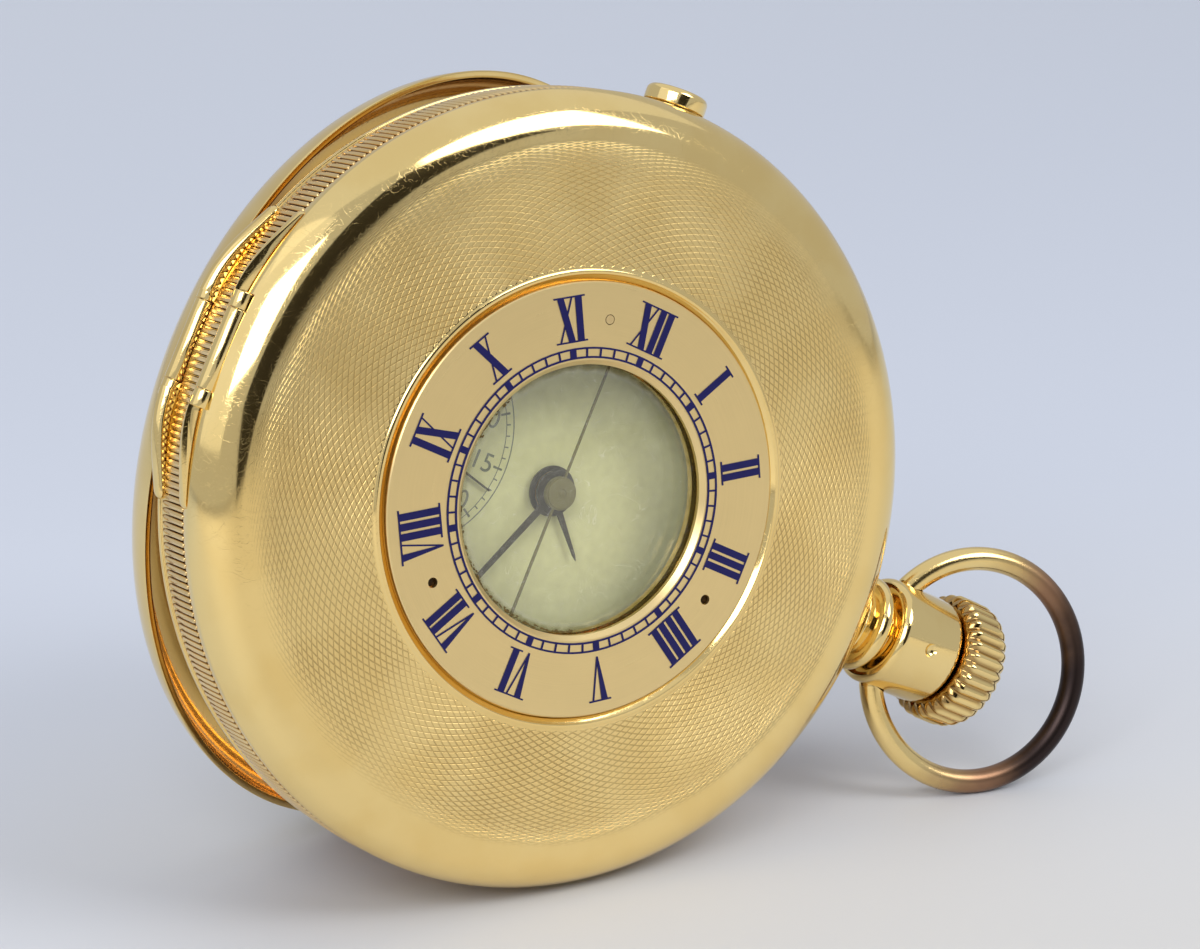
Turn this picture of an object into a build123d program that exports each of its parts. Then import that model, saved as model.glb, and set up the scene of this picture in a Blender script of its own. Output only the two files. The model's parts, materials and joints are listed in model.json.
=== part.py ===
# Half hunter pocket watch with a keyless movement, standing on its rim, its open back cover and its bow.
# In the watch's own frame x runs from the hinges at IX to the pendant at III, y runs to XII,
# and z runs out through the dial, with z = 0 at the front edge of the reeding.

import math
import os

from build123d import *

os.makedirs("parts", exist_ok=True)

# Stance, in degrees: turn about the dial's normal, lean on the back cover, opening of cover and bow
roll = 27.83
lean = 5.3
back_cover_open = 23.0
bow_swing = 11.0
# Where the case's axis stands beside the middle of the footprint
axis_left = 7.32
axis_forward = 10.07

# Clearances
seam_gap = 0.06
shaft_gap = 0.04
seat_gap = 0.05
wheel_gap = 0.1
overrun = 1.0

# Case middle
case_radius = 25.0
strip_inset = 0.1
reed_count = 370
reed_depth = 0.22
reed_height = 3.5
front_strip = 0.7
back_strip = 0.4
bezel_seat_radius = 22.7
bezel_seat_depth = 1.0
ledge_radius = 19.9
ledge_thickness = 0.45
spring_groove_radius = 22.7
spring_groove_height = 1.4
spring_groove_lip = 0.2
case_spring_width = 0.8
lock_spring_arc = (15, 80)
lift_spring_arc = (185, 255)
back_bore_radius = 22.0
cuvette_seat_radius = 22.9
cuvette_seat_depth = 0.4

# Front cover and its window
cover_wall = 0.6
front_shoulder = 3.2
front_rim_slope = 20
front_crown_slope = 84
ring_recess_radius = 13.6
ring_recess_depth = 0.85
boss_radius = 14.4
boss_depth = 1.6
window_radius = 8.4
window_lip = 0.12
window_glass_radius = 9.2
window_glass_thickness = 0.5
window_glass_dome = 0.5
window_ring_radius = 10.2
window_ring_thickness = 0.35

# Chapter ring
chapter_radius = 13.5
chapter_thickness = 0.55
chapter_bevel = 0.3
rivet_circle = 11.2
rivet_radius = 0.28
rivet_hours = (11.47, 7.47, 3.47)
rivet_depths = (0.0, 0.3, 0.3)
enamel_thickness = 0.05
numeral_foot = 9.85
numeral_height = 2.85
stroke_width = 0.45
stroke_gap = 0.16
hairline = 0.1
serif_reach = 0.22
vee_width = 1.1
track_inner = 8.82
track_outer = 9.5
track_line = 0.12
track_tick = 0.12
track_block = 0.42

# Back cover and cuvette
back_wall = 0.45
back_shoulder = 4.9
back_rim_slope = 10
back_crown_slope = 86
cuvette_wall = 0.35
cuvette_skirt = 0.95
cuvette_shoulder = 3.0
cuvette_crown_slope = 87

# Hinges at IX
hinge_inset = 0.1
knuckle_radius = 0.75
knuckle_relief = 0.1
pin_radius = 0.27
centre_knuckle = 5.0
side_knuckle = 4.0
leaf_length = 3.0
leaf_tip_radius = 0.15
leaf_inset = 1.6
cuvette_hinge_inset = 1.25
cuvette_knuckle_radius = 0.42
cuvette_pin_radius = 0.16
cuvette_centre_knuckle = 5.0
cuvette_side_knuckle = 1.1

# Pendant, crown and bow
pendant_depth = 2.1
spigot_radius = 1.3
throat_radius = 0.7
neck_radius = 2.3
neck_foot_radius = 3.0
neck_length = 1.2
neck_bead_radius = 3.25
neck_bead_length = 1.1
neck_groove_length = 0.5
drum_radius = 3.65
drum_length = 5.3
drum_rounding = 0.5
pendant_bore = 1.15
sleeve_wall = 0.5
stem_radius = 0.5
crown_gap = 0.15
crown_radius = 4.4
crown_length = 4.6
crown_dome = 1.1
crown_reeds = 32
crown_reed_depth = 0.32
bow_pivot = 1.75
bow_radius = 7.6
bow_wire = 0.8
bow_end_spread = 3.5
bow_pin_radius = 0.6
bow_pin_length = 1.7
bow_recess_radius = 1.0
bow_recess_depth = 0.95
bow_screw_radius = 0.45

# Push-piece near XII
push_hour_angle = 93
push_depth = 1.6
push_radius = 2.0
push_head = 1.15
push_stand = 0.1
push_recess = 0.6
push_stem_radius = 0.55
push_tube_wall = 0.35
push_spring_wire = 0.09
push_spring_turns = 3
push_travel = 0.45

# Dial, glass and hands
dial_face = -0.8
dial_thickness = 0.5
dial_radius = 19.0
bezel_bore = 19.4
bezel_height = 2.2
dial_glass_radius = 20.6
dial_glass_thickness = 0.6
dial_glass_dome = 0.15
glass_clearance = 1.95
hour_hand_length = 4.9
minute_hand_length = 13.4
seconds_hand_length = 14.2
small_seconds_length = 6.6
hour_boss = 1.6
minute_boss = 1.35
seconds_boss = 1.05
seconds_boss_height = 0.36
small_boss = 0.5
hand_thickness = 0.12
hour_hand_angle = 135
minute_hand_angle = 204
seconds_hand_angle = 0
small_seconds_angle = 103

# Movement plates
plate_radius = 21.1
plate_thickness = 2.0
train_space = 2.45
top_plate_radius = 18.6
top_plate_thickness = 0.75
pillar_radius = 1.0
pillar_circle = 17.0
pillar_angles = (66, -32, -100, 200)
motion_recess_depth = 1.05
plate_screw_radius = 0.95
screw_head_height = 0.3
screw_slot = 0.22
case_screw_angles = (-60, 165)
case_screw_circle = 20.55

# Going train
wheel_thickness = 0.15
barrel_distance = 10.0
barrel_teeth = 80
centre_leaves = 10
centre_teeth = 80
centre_module = 0.15
third_leaves = 10
third_teeth = 75
third_module = 0.14
fourth_leaves = 10
fourth_distance = 10.5
fourth_teeth = 80
fourth_module = 0.12
escape_leaves = 8
escape_teeth = 15
escape_radius = 2.6
escape_heading = 110
escape_rim_share = 0.66
pallet_distance = 3.0
pallet_heading = 25
pallet_half_span = 30
pallet_cock_thickness = 0.35
pallet_cock_width = 1.6
pallet_foot_distance = 5.5
pallet_foot_heading = 137
fork_horn = 0.35
roller_radius = 1.3
balance_distance = 5.2
balance_radius = 7.2
balance_rim = 0.7
balance_height = 0.4
arbor_radius = 0.4
pivot_radius = 0.12
hairspring_pitch = 0.36
hairspring_turns = 9
hairspring_wall = 0.07
hairspring_height = 0.12
collet_radius = 0.8
balance_hub = 1.0
balance_arm = 1.1
balance_screw_radius = 0.22
balance_screw_share = 0.8
balance_screw_count = 14
impulse_share = 0.75
cock_table = 2.2
cock_foot_half = 5.5
cock_foot_inner = 17.35
regulator_radius = 1.5
regulator_bore = 0.5
regulator_length = 5.2
regulator_width = 0.5
bridge_width = 2.4
bridge_thickness = 0.3
bridge_near_foot = 2.6
bridge_foot_stand = 1.6
sweep_teeth = 75
sweep_leaves = 10

# Barrel and winding work
barrel_wall = 0.35
barrel_flange = 0.35
barrel_cover_thickness = 0.14
barrel_arbor_radius = 1.5
mainspring_wall = 0.18
mainspring_pitch = 0.62
mainspring_turns = 9
winding_module = 0.2222
winding_leaves = 12
crown_wheel_teeth = 36
ratchet_module = 0.25
ratchet_teeth = 36
winding_wheel_thickness = 0.3
crown_screw_head = 0.15
crown_boss_radius = 1.0
click_heading = 100
click_stand = 0.6
click_length = 2.6
click_arm = 0.3
click_hub_radius = 0.55
click_stud_radius = 0.22
face_tooth_height = 0.35
face_tooth_width = 0.24
face_tooth_length = 0.5
winding_pinion_length = 0.75
pilot_length = 2.5
crown_wheel_distance = 15.9

# Motion work
motion_distance = 4.8
motion_heading = -60
cannon_leaves = 12
minute_wheel_teeth = 36
minute_leaves = 10
hour_wheel_teeth = 40
cannon_tube_radius = 0.85
hour_tube_radius = 1.25
centre_tube_radius = 0.6
centre_tube_bore = 0.3
centre_tube_end = 0.5
sweep_arbor_radius = 0.24

# Tooth forms: height and half width, in modules, of the corners of one tooth
wheel_tooth_shares = ((-1.3, -0.85), (1.05, -0.3), (1.05, 0.3), (-1.3, 0.85))
leaf_tooth_shares = ((-1.5, -0.45), (0.6, -0.32), (0.6, 0.32), (-1.5, 0.45))
escape_tooth_shares = ((0.78, -0.1), (1.0, 0.2), (1.0, 0.26), (0.78, 0.3))

# Hands: corners along and across, in shares of the hand's length
hour_hand_shares = ((0, -0.055), (0.92, -0.018), (1, 0), (0.92, 0.018), (0, 0.055))
minute_hand_shares = ((0, -0.017), (0.97, -0.009), (1, 0), (0.97, 0.009), (0, 0.017))
seconds_hand_shares = ((-0.59, -0.006), (1, -0.004), (1, 0.004), (-0.59, 0.006))
small_hand_shares = ((-0.25, -0.016), (1, -0.008), (1, 0.008), (-0.25, 0.016))

# Levels that follow from the sizes above
front_seam = front_strip
back_seam = -(reed_height + back_strip)
strip_radius = case_radius - strip_inset
cover_foot = front_seam + seam_gap
back_cover_foot = back_seam - seam_gap
plate_front = dial_face - dial_thickness
plate_back = plate_front - plate_thickness
top_plate_front = plate_back - train_space
top_plate_back = top_plate_front - top_plate_thickness
hinge_x = case_radius - hinge_inset
face_tooth_front = plate_back - wheel_gap
crown_wheel_front = face_tooth_front - face_tooth_height
barrel_front = crown_wheel_front - winding_wheel_thickness - wheel_gap
centre_wheel_back = top_plate_front + wheel_gap
centre_wheel_front = centre_wheel_back + wheel_thickness
barrel_back = centre_wheel_front + seam_gap
third_wheel_front = barrel_front - barrel_flange - 2 * wheel_gap
fourth_wheel_front = third_wheel_front - wheel_thickness - 2.5 * wheel_gap
escape_wheel_front = third_wheel_front + wheel_thickness
balance_front = top_plate_front - seat_gap
balance_back = balance_front - balance_height
sweep_wheel_front = top_plate_back - wheel_gap
centre_tube_length = dial_face + centre_tube_end - top_plate_back

# Planes of the watch: the case stands tilted by roll and lean on the back edge of its band
leaning = math.radians(lean)
rolling = math.radians(roll)
case_height = case_radius * math.cos(leaning) + reed_height * math.sin(leaning)
across = Vector(1, 0, 0)
upward = Vector(0, math.sin(leaning), math.cos(leaning))
watch = Plane(
    origin=(-axis_left, -axis_forward, case_height),
    x_dir=across * math.cos(rolling) - upward * math.sin(rolling),
    z_dir=(0, -math.cos(leaning), math.sin(leaning)),
)


def level(height, x=0, y=0, base=watch):
    """Plane parallel to the dial at a height and place of the watch's frame."""
    origin = base.origin + base.x_dir * x + base.y_dir * y + base.z_dir * height
    return Plane(origin=origin, x_dir=base.x_dir, z_dir=base.z_dir)


def swung(x, z, degrees, base=watch):
    """The watch's frame turned about a line that runs along y through x and z."""
    turn = math.radians(degrees)
    x_dir = base.x_dir * math.cos(turn) - base.z_dir * math.sin(turn)
    z_dir = base.x_dir * math.sin(turn) + base.z_dir * math.cos(turn)
    line = base.origin + base.x_dir * x + base.z_dir * z
    return Plane(origin=line - x_dir * x - z_dir * z, x_dir=x_dir, z_dir=z_dir)


def turned_to(degrees, height=0, base=watch):
    """Plane parallel to the dial with its x axis turned about the case's axis."""
    turn = math.radians(degrees)
    x_dir = base.x_dir * math.cos(turn) + base.y_dir * math.sin(turn)
    return Plane(origin=base.origin + base.z_dir * height, x_dir=x_dir, z_dir=base.z_dir)


def section(x=0, y=0, base=watch):
    """Plane of radius and height through an upright axis at x and y."""
    foot = level(0, x, y, base)
    return Plane(origin=foot.origin, x_dir=base.x_dir, z_dir=-base.y_dir)


def spindle(x=0, y=0, base=watch):
    """Axis along the dial's normal at x and y."""
    return Axis(origin=level(0, x, y, base).origin, direction=base.z_dir)


def along_x(x, z, base=watch):
    """Plane square to the pendant's axis, with its height axis up the dial's normal."""
    origin = base.origin + base.x_dir * x + base.z_dir * z
    return Plane(origin=origin, x_dir=base.y_dir, z_dir=base.x_dir)


def along_y(x, y, z, base=watch):
    """Plane square to the hinge lines at a place of the watch's frame."""
    origin = base.origin + base.x_dir * x + base.y_dir * y + base.z_dir * z
    return Plane(origin=origin, x_dir=base.x_dir, z_dir=base.y_dir)


def outline(plane, corners):
    """Closed straight-sided outline on a plane."""
    with BuildSketch(plane) as drawn:
        with BuildLine():
            Polyline(*corners, close=True)
        make_face()
    return drawn.sketch


def disc(plane, radius, bore=0):
    """Disc or ring on a plane."""
    with BuildSketch(plane) as drawn:
        Circle(radius)
        if bore > 0:
            Circle(bore, mode=Mode.SUBTRACT)
    return drawn.sketch


def steps(x, y, corners, base=watch):
    """Half section of a turned piece about the upright axis at x and y."""
    return outline(section(x, y, base), corners)


def polar(distance, degrees, start=(0, 0)):
    """Place at a distance and heading from another place."""
    turn = math.radians(degrees)
    return start[0] + distance * math.cos(turn), start[1] + distance * math.sin(turn)


def heading(start, end):
    """Direction in degrees from one place to another."""
    return math.degrees(math.atan2(end[1] - start[1], end[0] - start[0]))


def corner_angle(first, second, opposite):
    """Angle in degrees between two sides of a triangle, from the lengths of its three sides."""
    return math.degrees(math.acos((first ** 2 + second ** 2 - opposite ** 2) / (2 * first * second)))


def toothed(plane, teeth, module, facing, shares, bore):
    """Toothed outline with the middle of a tooth at the angle facing."""
    pitch_radius = teeth * module / 2
    corners = []
    for tooth in range(teeth):
        middle = facing + 360 * tooth / teeth
        for height, half_width in shares:
            radius = pitch_radius + height * module
            corners.append(polar(radius, middle + math.degrees(half_width * module / pitch_radius)))
    with BuildSketch(plane) as drawn:
        with BuildLine():
            Polyline(*corners, close=True)
        make_face()
        Circle(bore, mode=Mode.SUBTRACT)
    return drawn.sketch


def spoked(plane, hub, rim, arms, arm_width):
    """Windows between the arms of a wheel, to be cut out."""
    with BuildSketch(plane) as drawn:
        Circle(rim)
        Circle(hub, mode=Mode.SUBTRACT)
        with PolarLocations(0, arms):
            Rectangle(rim, arm_width, align=(Align.MIN, Align.CENTER), mode=Mode.SUBTRACT)
    return drawn.sketch


def spiral(plane, start_radius, pitch, wall, turns):
    """Flat coiled strip drawn with half circles about two centres in turn."""
    with BuildSketch(plane) as drawn:
        with BuildLine():
            ends = []
            for thickness in (0, wall):
                for half in range(2 * turns):
                    side = 1 - 2 * (half % 2)
                    middle = half % 2 * pitch / 2
                    radius = start_radius + thickness + half * pitch / 2
                    near = (middle + side * radius, 0)
                    far = (middle - side * radius, 0)
                    ThreePointArc(near, (middle, side * radius), far)
                    if half == 0:
                        ends.append(near)
                ends.append(far)
            Line(ends[0], ends[2])
            Line(ends[1], ends[3])
        make_face()
    return drawn.sketch


def sagged(half_chord, rise, distance):
    """Height over its chord of a shallow arc at a distance from its middle."""
    radius = (half_chord ** 2 + rise ** 2) / (2 * rise)
    return rise - radius + math.sqrt(radius ** 2 - distance ** 2)


def export(piece, name):
    """Write a finished piece under its node's name."""
    piece.part.label = name
    export_step(piece.part, f"parts/{name}.step")


def screw(place, seat, head_height, depth):
    """Slotted screw with its head behind the seat and its shank in front of it."""
    with BuildPart() as made:
        extrude(disc(level(seat, *place), plate_screw_radius), amount=-head_height)
        extrude(disc(level(seat, *place), plate_screw_radius / 2), amount=depth)
        with BuildSketch(level(seat - head_height, *place)):
            Rectangle(2 * plate_screw_radius + overrun, screw_slot)
        extrude(amount=head_height / 2, mode=Mode.SUBTRACT)
    return made.part


def group(pieces, name):
    """Several separate solids in one node."""
    gathered = Compound(label=name, children=list(pieces))
    export_step(gathered, f"parts/{name}.step")


# Domed shells of the covers
def shell_points(rim_radius, foot, shoulder, rim_slope, crown_slope, inset, side):
    """Start, middle and end of the shoulder arc and the crown's radius and centre, of one skin."""
    rim = math.radians(rim_slope)
    crown = math.radians(crown_slope)
    centre_radius = rim_radius - shoulder * math.cos(rim)
    centre_height = foot - side * shoulder * math.sin(rim)
    outer_end = centre_radius + shoulder * math.cos(crown)
    crown_radius_here = outer_end / math.cos(crown)
    crown_centre = centre_height + side * (shoulder - crown_radius_here) * math.sin(crown)
    bend = shoulder - inset
    start_angle = math.asin(side * (foot - centre_height) / bend)
    middle_angle = (start_angle + crown) / 2
    points = []
    for angle in (start_angle, middle_angle, crown):
        rise = side * bend * math.sin(angle)
        points.append((centre_radius + bend * math.cos(angle), centre_height + rise))
    return points, crown_radius_here - inset, crown_centre


def crown_point(radius, skin, side):
    """Point of a crown's skin at a radius."""
    crown_skin, centre = skin[1], skin[2]
    return radius, centre + side * math.sqrt(crown_skin ** 2 - radius ** 2)


def shell(rim_radius, foot, skirt, shoulder, rim_slope, crown_slope, wall, side, base=watch):
    """Half section of a closed domed cover."""
    bend_foot = foot + side * skirt
    outer = shell_points(rim_radius, bend_foot, shoulder, rim_slope, crown_slope, 0, side)
    inner = shell_points(rim_radius, bend_foot, shoulder, rim_slope, crown_slope, wall, side)
    with BuildSketch(section(0, 0, base)) as drawn:
        with BuildLine():
            ThreePointArc(*outer[0])
            half_out = outer[0][2][0] / 2
            ThreePointArc(outer[0][2], crown_point(half_out, outer, side), crown_point(0, outer, side))
            Line(crown_point(0, outer, side), crown_point(0, inner, side))
            half_in = inner[0][2][0] / 2
            ThreePointArc(crown_point(0, inner, side), crown_point(half_in, inner, side), inner[0][2])
            ThreePointArc(*reversed(inner[0]))
            if skirt > 0:
                Polyline(inner[0][0], (inner[0][0][0], foot), (rim_radius, foot), outer[0][0])
            else:
                Line(inner[0][0], outer[0][0])
        make_face()
    return drawn.sketch


# Hinges
def barrel(x, z, start, radius, base=watch):
    """Disc of a hinge barrel, ready to be extruded along the hinge."""
    return disc(along_y(x, start, z, base), radius)


def leaf(x, z, side, keep_front):
    """Tapered end of a hinge that runs onto the band, on the case's side of the seam."""
    start = side * (side_start + side_knuckle)
    end = start + side * leaf_length
    with BuildPart() as tip:
        with BuildSketch(along_y(x, start, z)):
            Circle(knuckle_radius)
        with BuildSketch(along_y(x + leaf_inset, end, z)):
            Circle(leaf_tip_radius)
        loft()
        split(bisect_by=level(z), keep=Keep.TOP if keep_front else Keep.BOTTOM)
    return tip.part


front_hinge = (-hinge_x, front_seam)
back_hinge = (-hinge_x, back_seam)
opened_back = swung(*back_hinge, back_cover_open)
hinge_bore = pin_radius + shaft_gap
relief_length = side_knuckle + 2 * knuckle_relief
relief_starts = (centre_knuckle / 2, -centre_knuckle / 2 - relief_length)
side_start = centre_knuckle / 2 + seam_gap

hinge_leaves = []
for hinge_side in (-1, 1):
    hinge_leaves.append(leaf(*front_hinge, hinge_side, False))
    hinge_leaves.append(leaf(*back_hinge, hinge_side, True))

cuvette_foot = back_seam + cuvette_seat_depth - seat_gap
cuvette_hinge_x = cuvette_seat_radius + cuvette_hinge_inset - cuvette_knuckle_radius
cuvette_hinge = (-cuvette_hinge_x, back_seam - cuvette_knuckle_radius + seat_gap)


# Case middle with its coin-edge band
def reeded_band(plane):
    """Ring of fine straight reeds round the band."""
    pitch = 360 / reed_count
    reed_shares = ((case_radius - reed_depth, -0.5), (case_radius, -0.2), (case_radius, 0.2))
    corners = []
    for reed in range(reed_count):
        for radius, share in reed_shares:
            corners.append(polar(radius, (reed + share) * pitch))
    with BuildSketch(plane) as drawn:
        with BuildLine():
            Polyline(*corners, close=True)
        make_face()
        Circle(spring_groove_radius + overrun, mode=Mode.SUBTRACT)
    return drawn.sketch


groove_back = plate_back + spring_groove_lip
groove_front = groove_back + spring_groove_height
bezel_seat = front_seam - bezel_seat_depth
bore_corners = (
    (0, back_seam - overrun),
    (cuvette_seat_radius, back_seam - overrun),
    (cuvette_seat_radius, back_seam + cuvette_seat_depth),
    (back_bore_radius, back_seam + cuvette_seat_depth),
    (back_bore_radius, plate_back),
    (plate_radius + seat_gap, plate_back),
    (plate_radius + seat_gap, groove_back),
    (spring_groove_radius, groove_back),
    (spring_groove_radius, groove_front),
    (plate_radius + seat_gap, groove_front),
    (plate_radius + seat_gap, plate_front),
    (ledge_radius, plate_front),
    (ledge_radius, plate_front + ledge_thickness),
    (plate_radius + seat_gap, plate_front + ledge_thickness),
    (plate_radius + seat_gap, bezel_seat),
    (bezel_seat_radius, bezel_seat),
    (bezel_seat_radius, front_seam + overrun),
    (0, front_seam + overrun),
)
push_tube_radius = push_stem_radius + push_tube_wall
push_floor = case_radius - push_recess
push_axis = turned_to(push_hour_angle, -push_depth)
push_seat = Plane(origin=push_axis.origin, x_dir=push_axis.y_dir, z_dir=push_axis.x_dir)
both_hinges = (front_hinge, back_hinge)
pinion_notch = winding_leaves * winding_module / 2 + 3 * wheel_gap
pinion_start = crown_wheel_distance + crown_wheel_teeth * winding_module / 2 - winding_pinion_length / 2
pinion_end = pinion_start + winding_pinion_length
with BuildPart() as case_middle:
    extrude(disc(level(back_seam), strip_radius), amount=front_seam - back_seam)
    revolve(steps(0, 0, bore_corners), axis=spindle(), mode=Mode.SUBTRACT)
    gap_corners = (
        (case_radius - reed_depth, -reed_height),
        (case_radius + overrun, -reed_height),
        (case_radius + overrun, 0),
        (case_radius - reed_depth, 0),
    )
    revolve(steps(0, 0, gap_corners), axis=spindle(), mode=Mode.SUBTRACT)
    for hinge in both_hinges:
        relief = barrel(*hinge, -side_start, knuckle_radius + knuckle_relief)
        extrude(relief, amount=2 * side_start, mode=Mode.SUBTRACT)
        for start in (side_start, -side_start - side_knuckle):
            extrude(barrel(*hinge, start, knuckle_radius), amount=side_knuckle)
    add(hinge_leaves)
    cuvette_side = cuvette_centre_knuckle / 2 + seam_gap
    relief = barrel(*cuvette_hinge, -cuvette_side, cuvette_knuckle_radius + knuckle_relief)
    extrude(relief, amount=2 * cuvette_side, mode=Mode.SUBTRACT)
    pinion_room = disc(along_x(ledge_radius - overrun, -pendant_depth), pinion_notch)
    extrude(pinion_room, amount=pinion_end + 2 * wheel_gap - ledge_radius + overrun, mode=Mode.SUBTRACT)
    for start in (cuvette_side, -cuvette_side - cuvette_side_knuckle):
        extrude(barrel(*cuvette_hinge, start, cuvette_knuckle_radius), amount=cuvette_side_knuckle)
        bore = barrel(*cuvette_hinge, start, cuvette_pin_radius + shaft_gap)
        extrude(bore, amount=cuvette_side_knuckle, mode=Mode.SUBTRACT)
    extrude(reeded_band(level(-reed_height)), amount=reed_height)
    stem_hole = disc(along_x(ledge_radius - overrun, -pendant_depth), spigot_radius + seat_gap)
    extrude(stem_hole, amount=case_radius - ledge_radius + 2 * overrun, mode=Mode.SUBTRACT)
    push_hole = disc(push_seat.offset(ledge_radius - overrun), push_tube_radius + shaft_gap)
    extrude(push_hole, amount=case_radius - ledge_radius + 2 * overrun, mode=Mode.SUBTRACT)
    head_recess = disc(push_seat.offset(push_floor), push_radius + knuckle_relief)
    extrude(head_recess, amount=push_recess + overrun, mode=Mode.SUBTRACT)
    bore_start = -side_start - side_knuckle
    for hinge in both_hinges:
        relief = barrel(*hinge, -side_start, knuckle_radius + knuckle_relief)
        extrude(relief, amount=2 * side_start, mode=Mode.SUBTRACT)
        extrude(barrel(*hinge, bore_start, hinge_bore), amount=-2 * bore_start, mode=Mode.SUBTRACT)
export(case_middle, "case_middle")


# Front cover with the recess for the chapter ring
front_form = (case_radius, cover_foot, front_shoulder, front_rim_slope, front_crown_slope)
front_outer = shell_points(*front_form, 0, 1)
front_inner = shell_points(*front_form, cover_wall, 1)
front_apex = crown_point(0, front_outer, 1)[1]
recess_floor = front_apex - ring_recess_depth
boss_floor = front_apex - boss_depth
glass_edge = recess_floor - window_lip
chapter_face = recess_floor + chapter_thickness


def front_cover_section():
    """Half section of the front cover."""
    recess_edge = crown_point(ring_recess_radius, front_outer, 1)
    boss_edge = crown_point(boss_radius, front_inner, 1)
    outer_middle = crown_point((ring_recess_radius + front_outer[0][2][0]) / 2, front_outer, 1)
    inner_middle = crown_point((boss_radius + front_inner[0][2][0]) / 2, front_inner, 1)
    with BuildSketch(section()) as drawn:
        with BuildLine():
            ThreePointArc(*front_outer[0])
            ThreePointArc(front_outer[0][2], outer_middle, recess_edge)
            Polyline(
                recess_edge,
                (ring_recess_radius, recess_floor),
                (window_radius, recess_floor),
                (window_radius, glass_edge),
                (window_glass_radius + seat_gap, glass_edge),
                (window_glass_radius + seat_gap, boss_floor),
                (boss_radius, boss_floor),
                boss_edge,
            )
            ThreePointArc(boss_edge, inner_middle, front_inner[0][2])
            ThreePointArc(*reversed(front_inner[0]))
            Line(front_inner[0][0], front_outer[0][0])
        make_face()
    return drawn.sketch


def ring_places(radius, hours):
    """Places on a circle at hours of the dial, counted clockwise from XII."""
    return [polar(radius, 90 - 30 * hour) for hour in hours]


with BuildPart() as front_cover:
    revolve(front_cover_section(), axis=spindle())
    for start in relief_starts:
        relief = barrel(*front_hinge, start, knuckle_radius + knuckle_relief)
        extrude(relief, amount=relief_length, mode=Mode.SUBTRACT)
    extrude(barrel(*front_hinge, -centre_knuckle / 2, knuckle_radius), amount=centre_knuckle)
    extrude(barrel(*front_hinge, -centre_knuckle / 2, hinge_bore), amount=centre_knuckle, mode=Mode.SUBTRACT)
    for place in ring_places(rivet_circle, rivet_hours):
        rivet_hole = disc(level(boss_floor - overrun, *place), rivet_radius + shaft_gap)
        extrude(rivet_hole, amount=boss_depth + 2 * overrun, mode=Mode.SUBTRACT)
export(front_cover, "front_cover")

chapter_corners = (
    (window_radius, recess_floor),
    (chapter_radius, recess_floor),
    (chapter_radius, chapter_face - chapter_bevel / 4),
    (chapter_radius - chapter_bevel / 4, chapter_face),
    (window_radius + chapter_bevel, chapter_face),
    (window_radius, chapter_face - chapter_bevel),
)
with BuildPart() as chapter_ring:
    revolve(steps(0, 0, chapter_corners), axis=spindle())
    for place in ring_places(rivet_circle, rivet_hours):
        rivet_hole = disc(level(recess_floor - overrun, *place), rivet_radius + shaft_gap)
        extrude(rivet_hole, amount=2 * overrun, mode=Mode.SUBTRACT)
export(chapter_ring, "chapter_ring")

rivets = []
for place, sunk in zip(ring_places(rivet_circle, rivet_hours), rivet_depths):
    with BuildPart() as rivet:
        extrude(disc(level(boss_floor, *place), rivet_radius), amount=chapter_face - boss_floor - sunk)
        extrude(disc(level(boss_floor, *place), 2 * rivet_radius), amount=-rivet_radius)
    rivets.append(rivet.part)
group(rivets, "chapter_ring_rivets")

# Enamelled numerals and minute track on the chapter ring
numerals = ("XII", "I", "II", "III", "IIII", "V", "VI", "VII", "VIII", "IX", "X", "XI")
glyph_widths = {"I": stroke_width, "V": vee_width, "X": vee_width}


def slanted(foot, head, width):
    """Corners of a stroke from a place on the foot line to a place on the head line."""
    return ((foot, 0), (foot + width, 0), (head + width, numeral_height), (head, numeral_height))


def glyph_strokes(letter, left):
    """Strokes of one letter of a numeral, with its serifs."""
    right = left + glyph_widths[letter]
    near = left - serif_reach
    far = right + serif_reach
    foot_line = ((near, 0), (far, 0), (far, hairline), (near, hairline))
    head_line = [(x, numeral_height - hairline + y) for x, y in foot_line]
    if letter == "I":
        return [slanted(left, left, stroke_width), foot_line, head_line]
    if letter == "V":
        vertex = (left + right - hairline) / 2
        head = numeral_height
        thick = ((vertex, 0), (vertex + hairline, 0), (left + stroke_width, head), (left, head))
        return [thick, slanted(vertex, right - hairline, hairline), head_line]
    thick = slanted(right - stroke_width, left, stroke_width)
    return [thick, slanted(left, right - hairline, hairline), foot_line, head_line]


def numeral_sketch(text, hour):
    """One numeral with its foot towards the window."""
    width = sum(glyph_widths[letter] for letter in text) + stroke_gap * (len(text) - 1)
    place = turned_to(-30 * hour, chapter_face)
    with BuildSketch(place) as drawn:
        left = -width / 2
        for letter in text:
            for corners in glyph_strokes(letter, left):
                with BuildLine():
                    Polyline(*[(x, numeral_foot + y) for x, y in corners], close=True)
                make_face()
            left += glyph_widths[letter] + stroke_gap
    return drawn.sketch


with BuildPart() as chapter_numerals:
    for hour, text in enumerate(numerals):
        extrude(numeral_sketch(text, hour), amount=enamel_thickness)
export(chapter_numerals, "chapter_numerals")

with BuildPart() as minute_track:
    extrude(disc(level(chapter_face), track_inner + track_line, track_inner), amount=enamel_thickness)
    extrude(disc(level(chapter_face), track_outer, track_outer - track_line), amount=enamel_thickness)
    with BuildSketch(level(chapter_face)):
        with PolarLocations(track_inner + track_line / 2, 60):
            Rectangle(track_outer - track_inner - track_line, track_tick, align=(Align.MIN, Align.CENTER))
        with PolarLocations(track_inner + track_line / 2, 12):
            Rectangle(track_outer - track_inner - track_line, track_block, align=(Align.MIN, Align.CENTER))
    extrude(amount=enamel_thickness)
export(minute_track, "minute_track")


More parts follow.
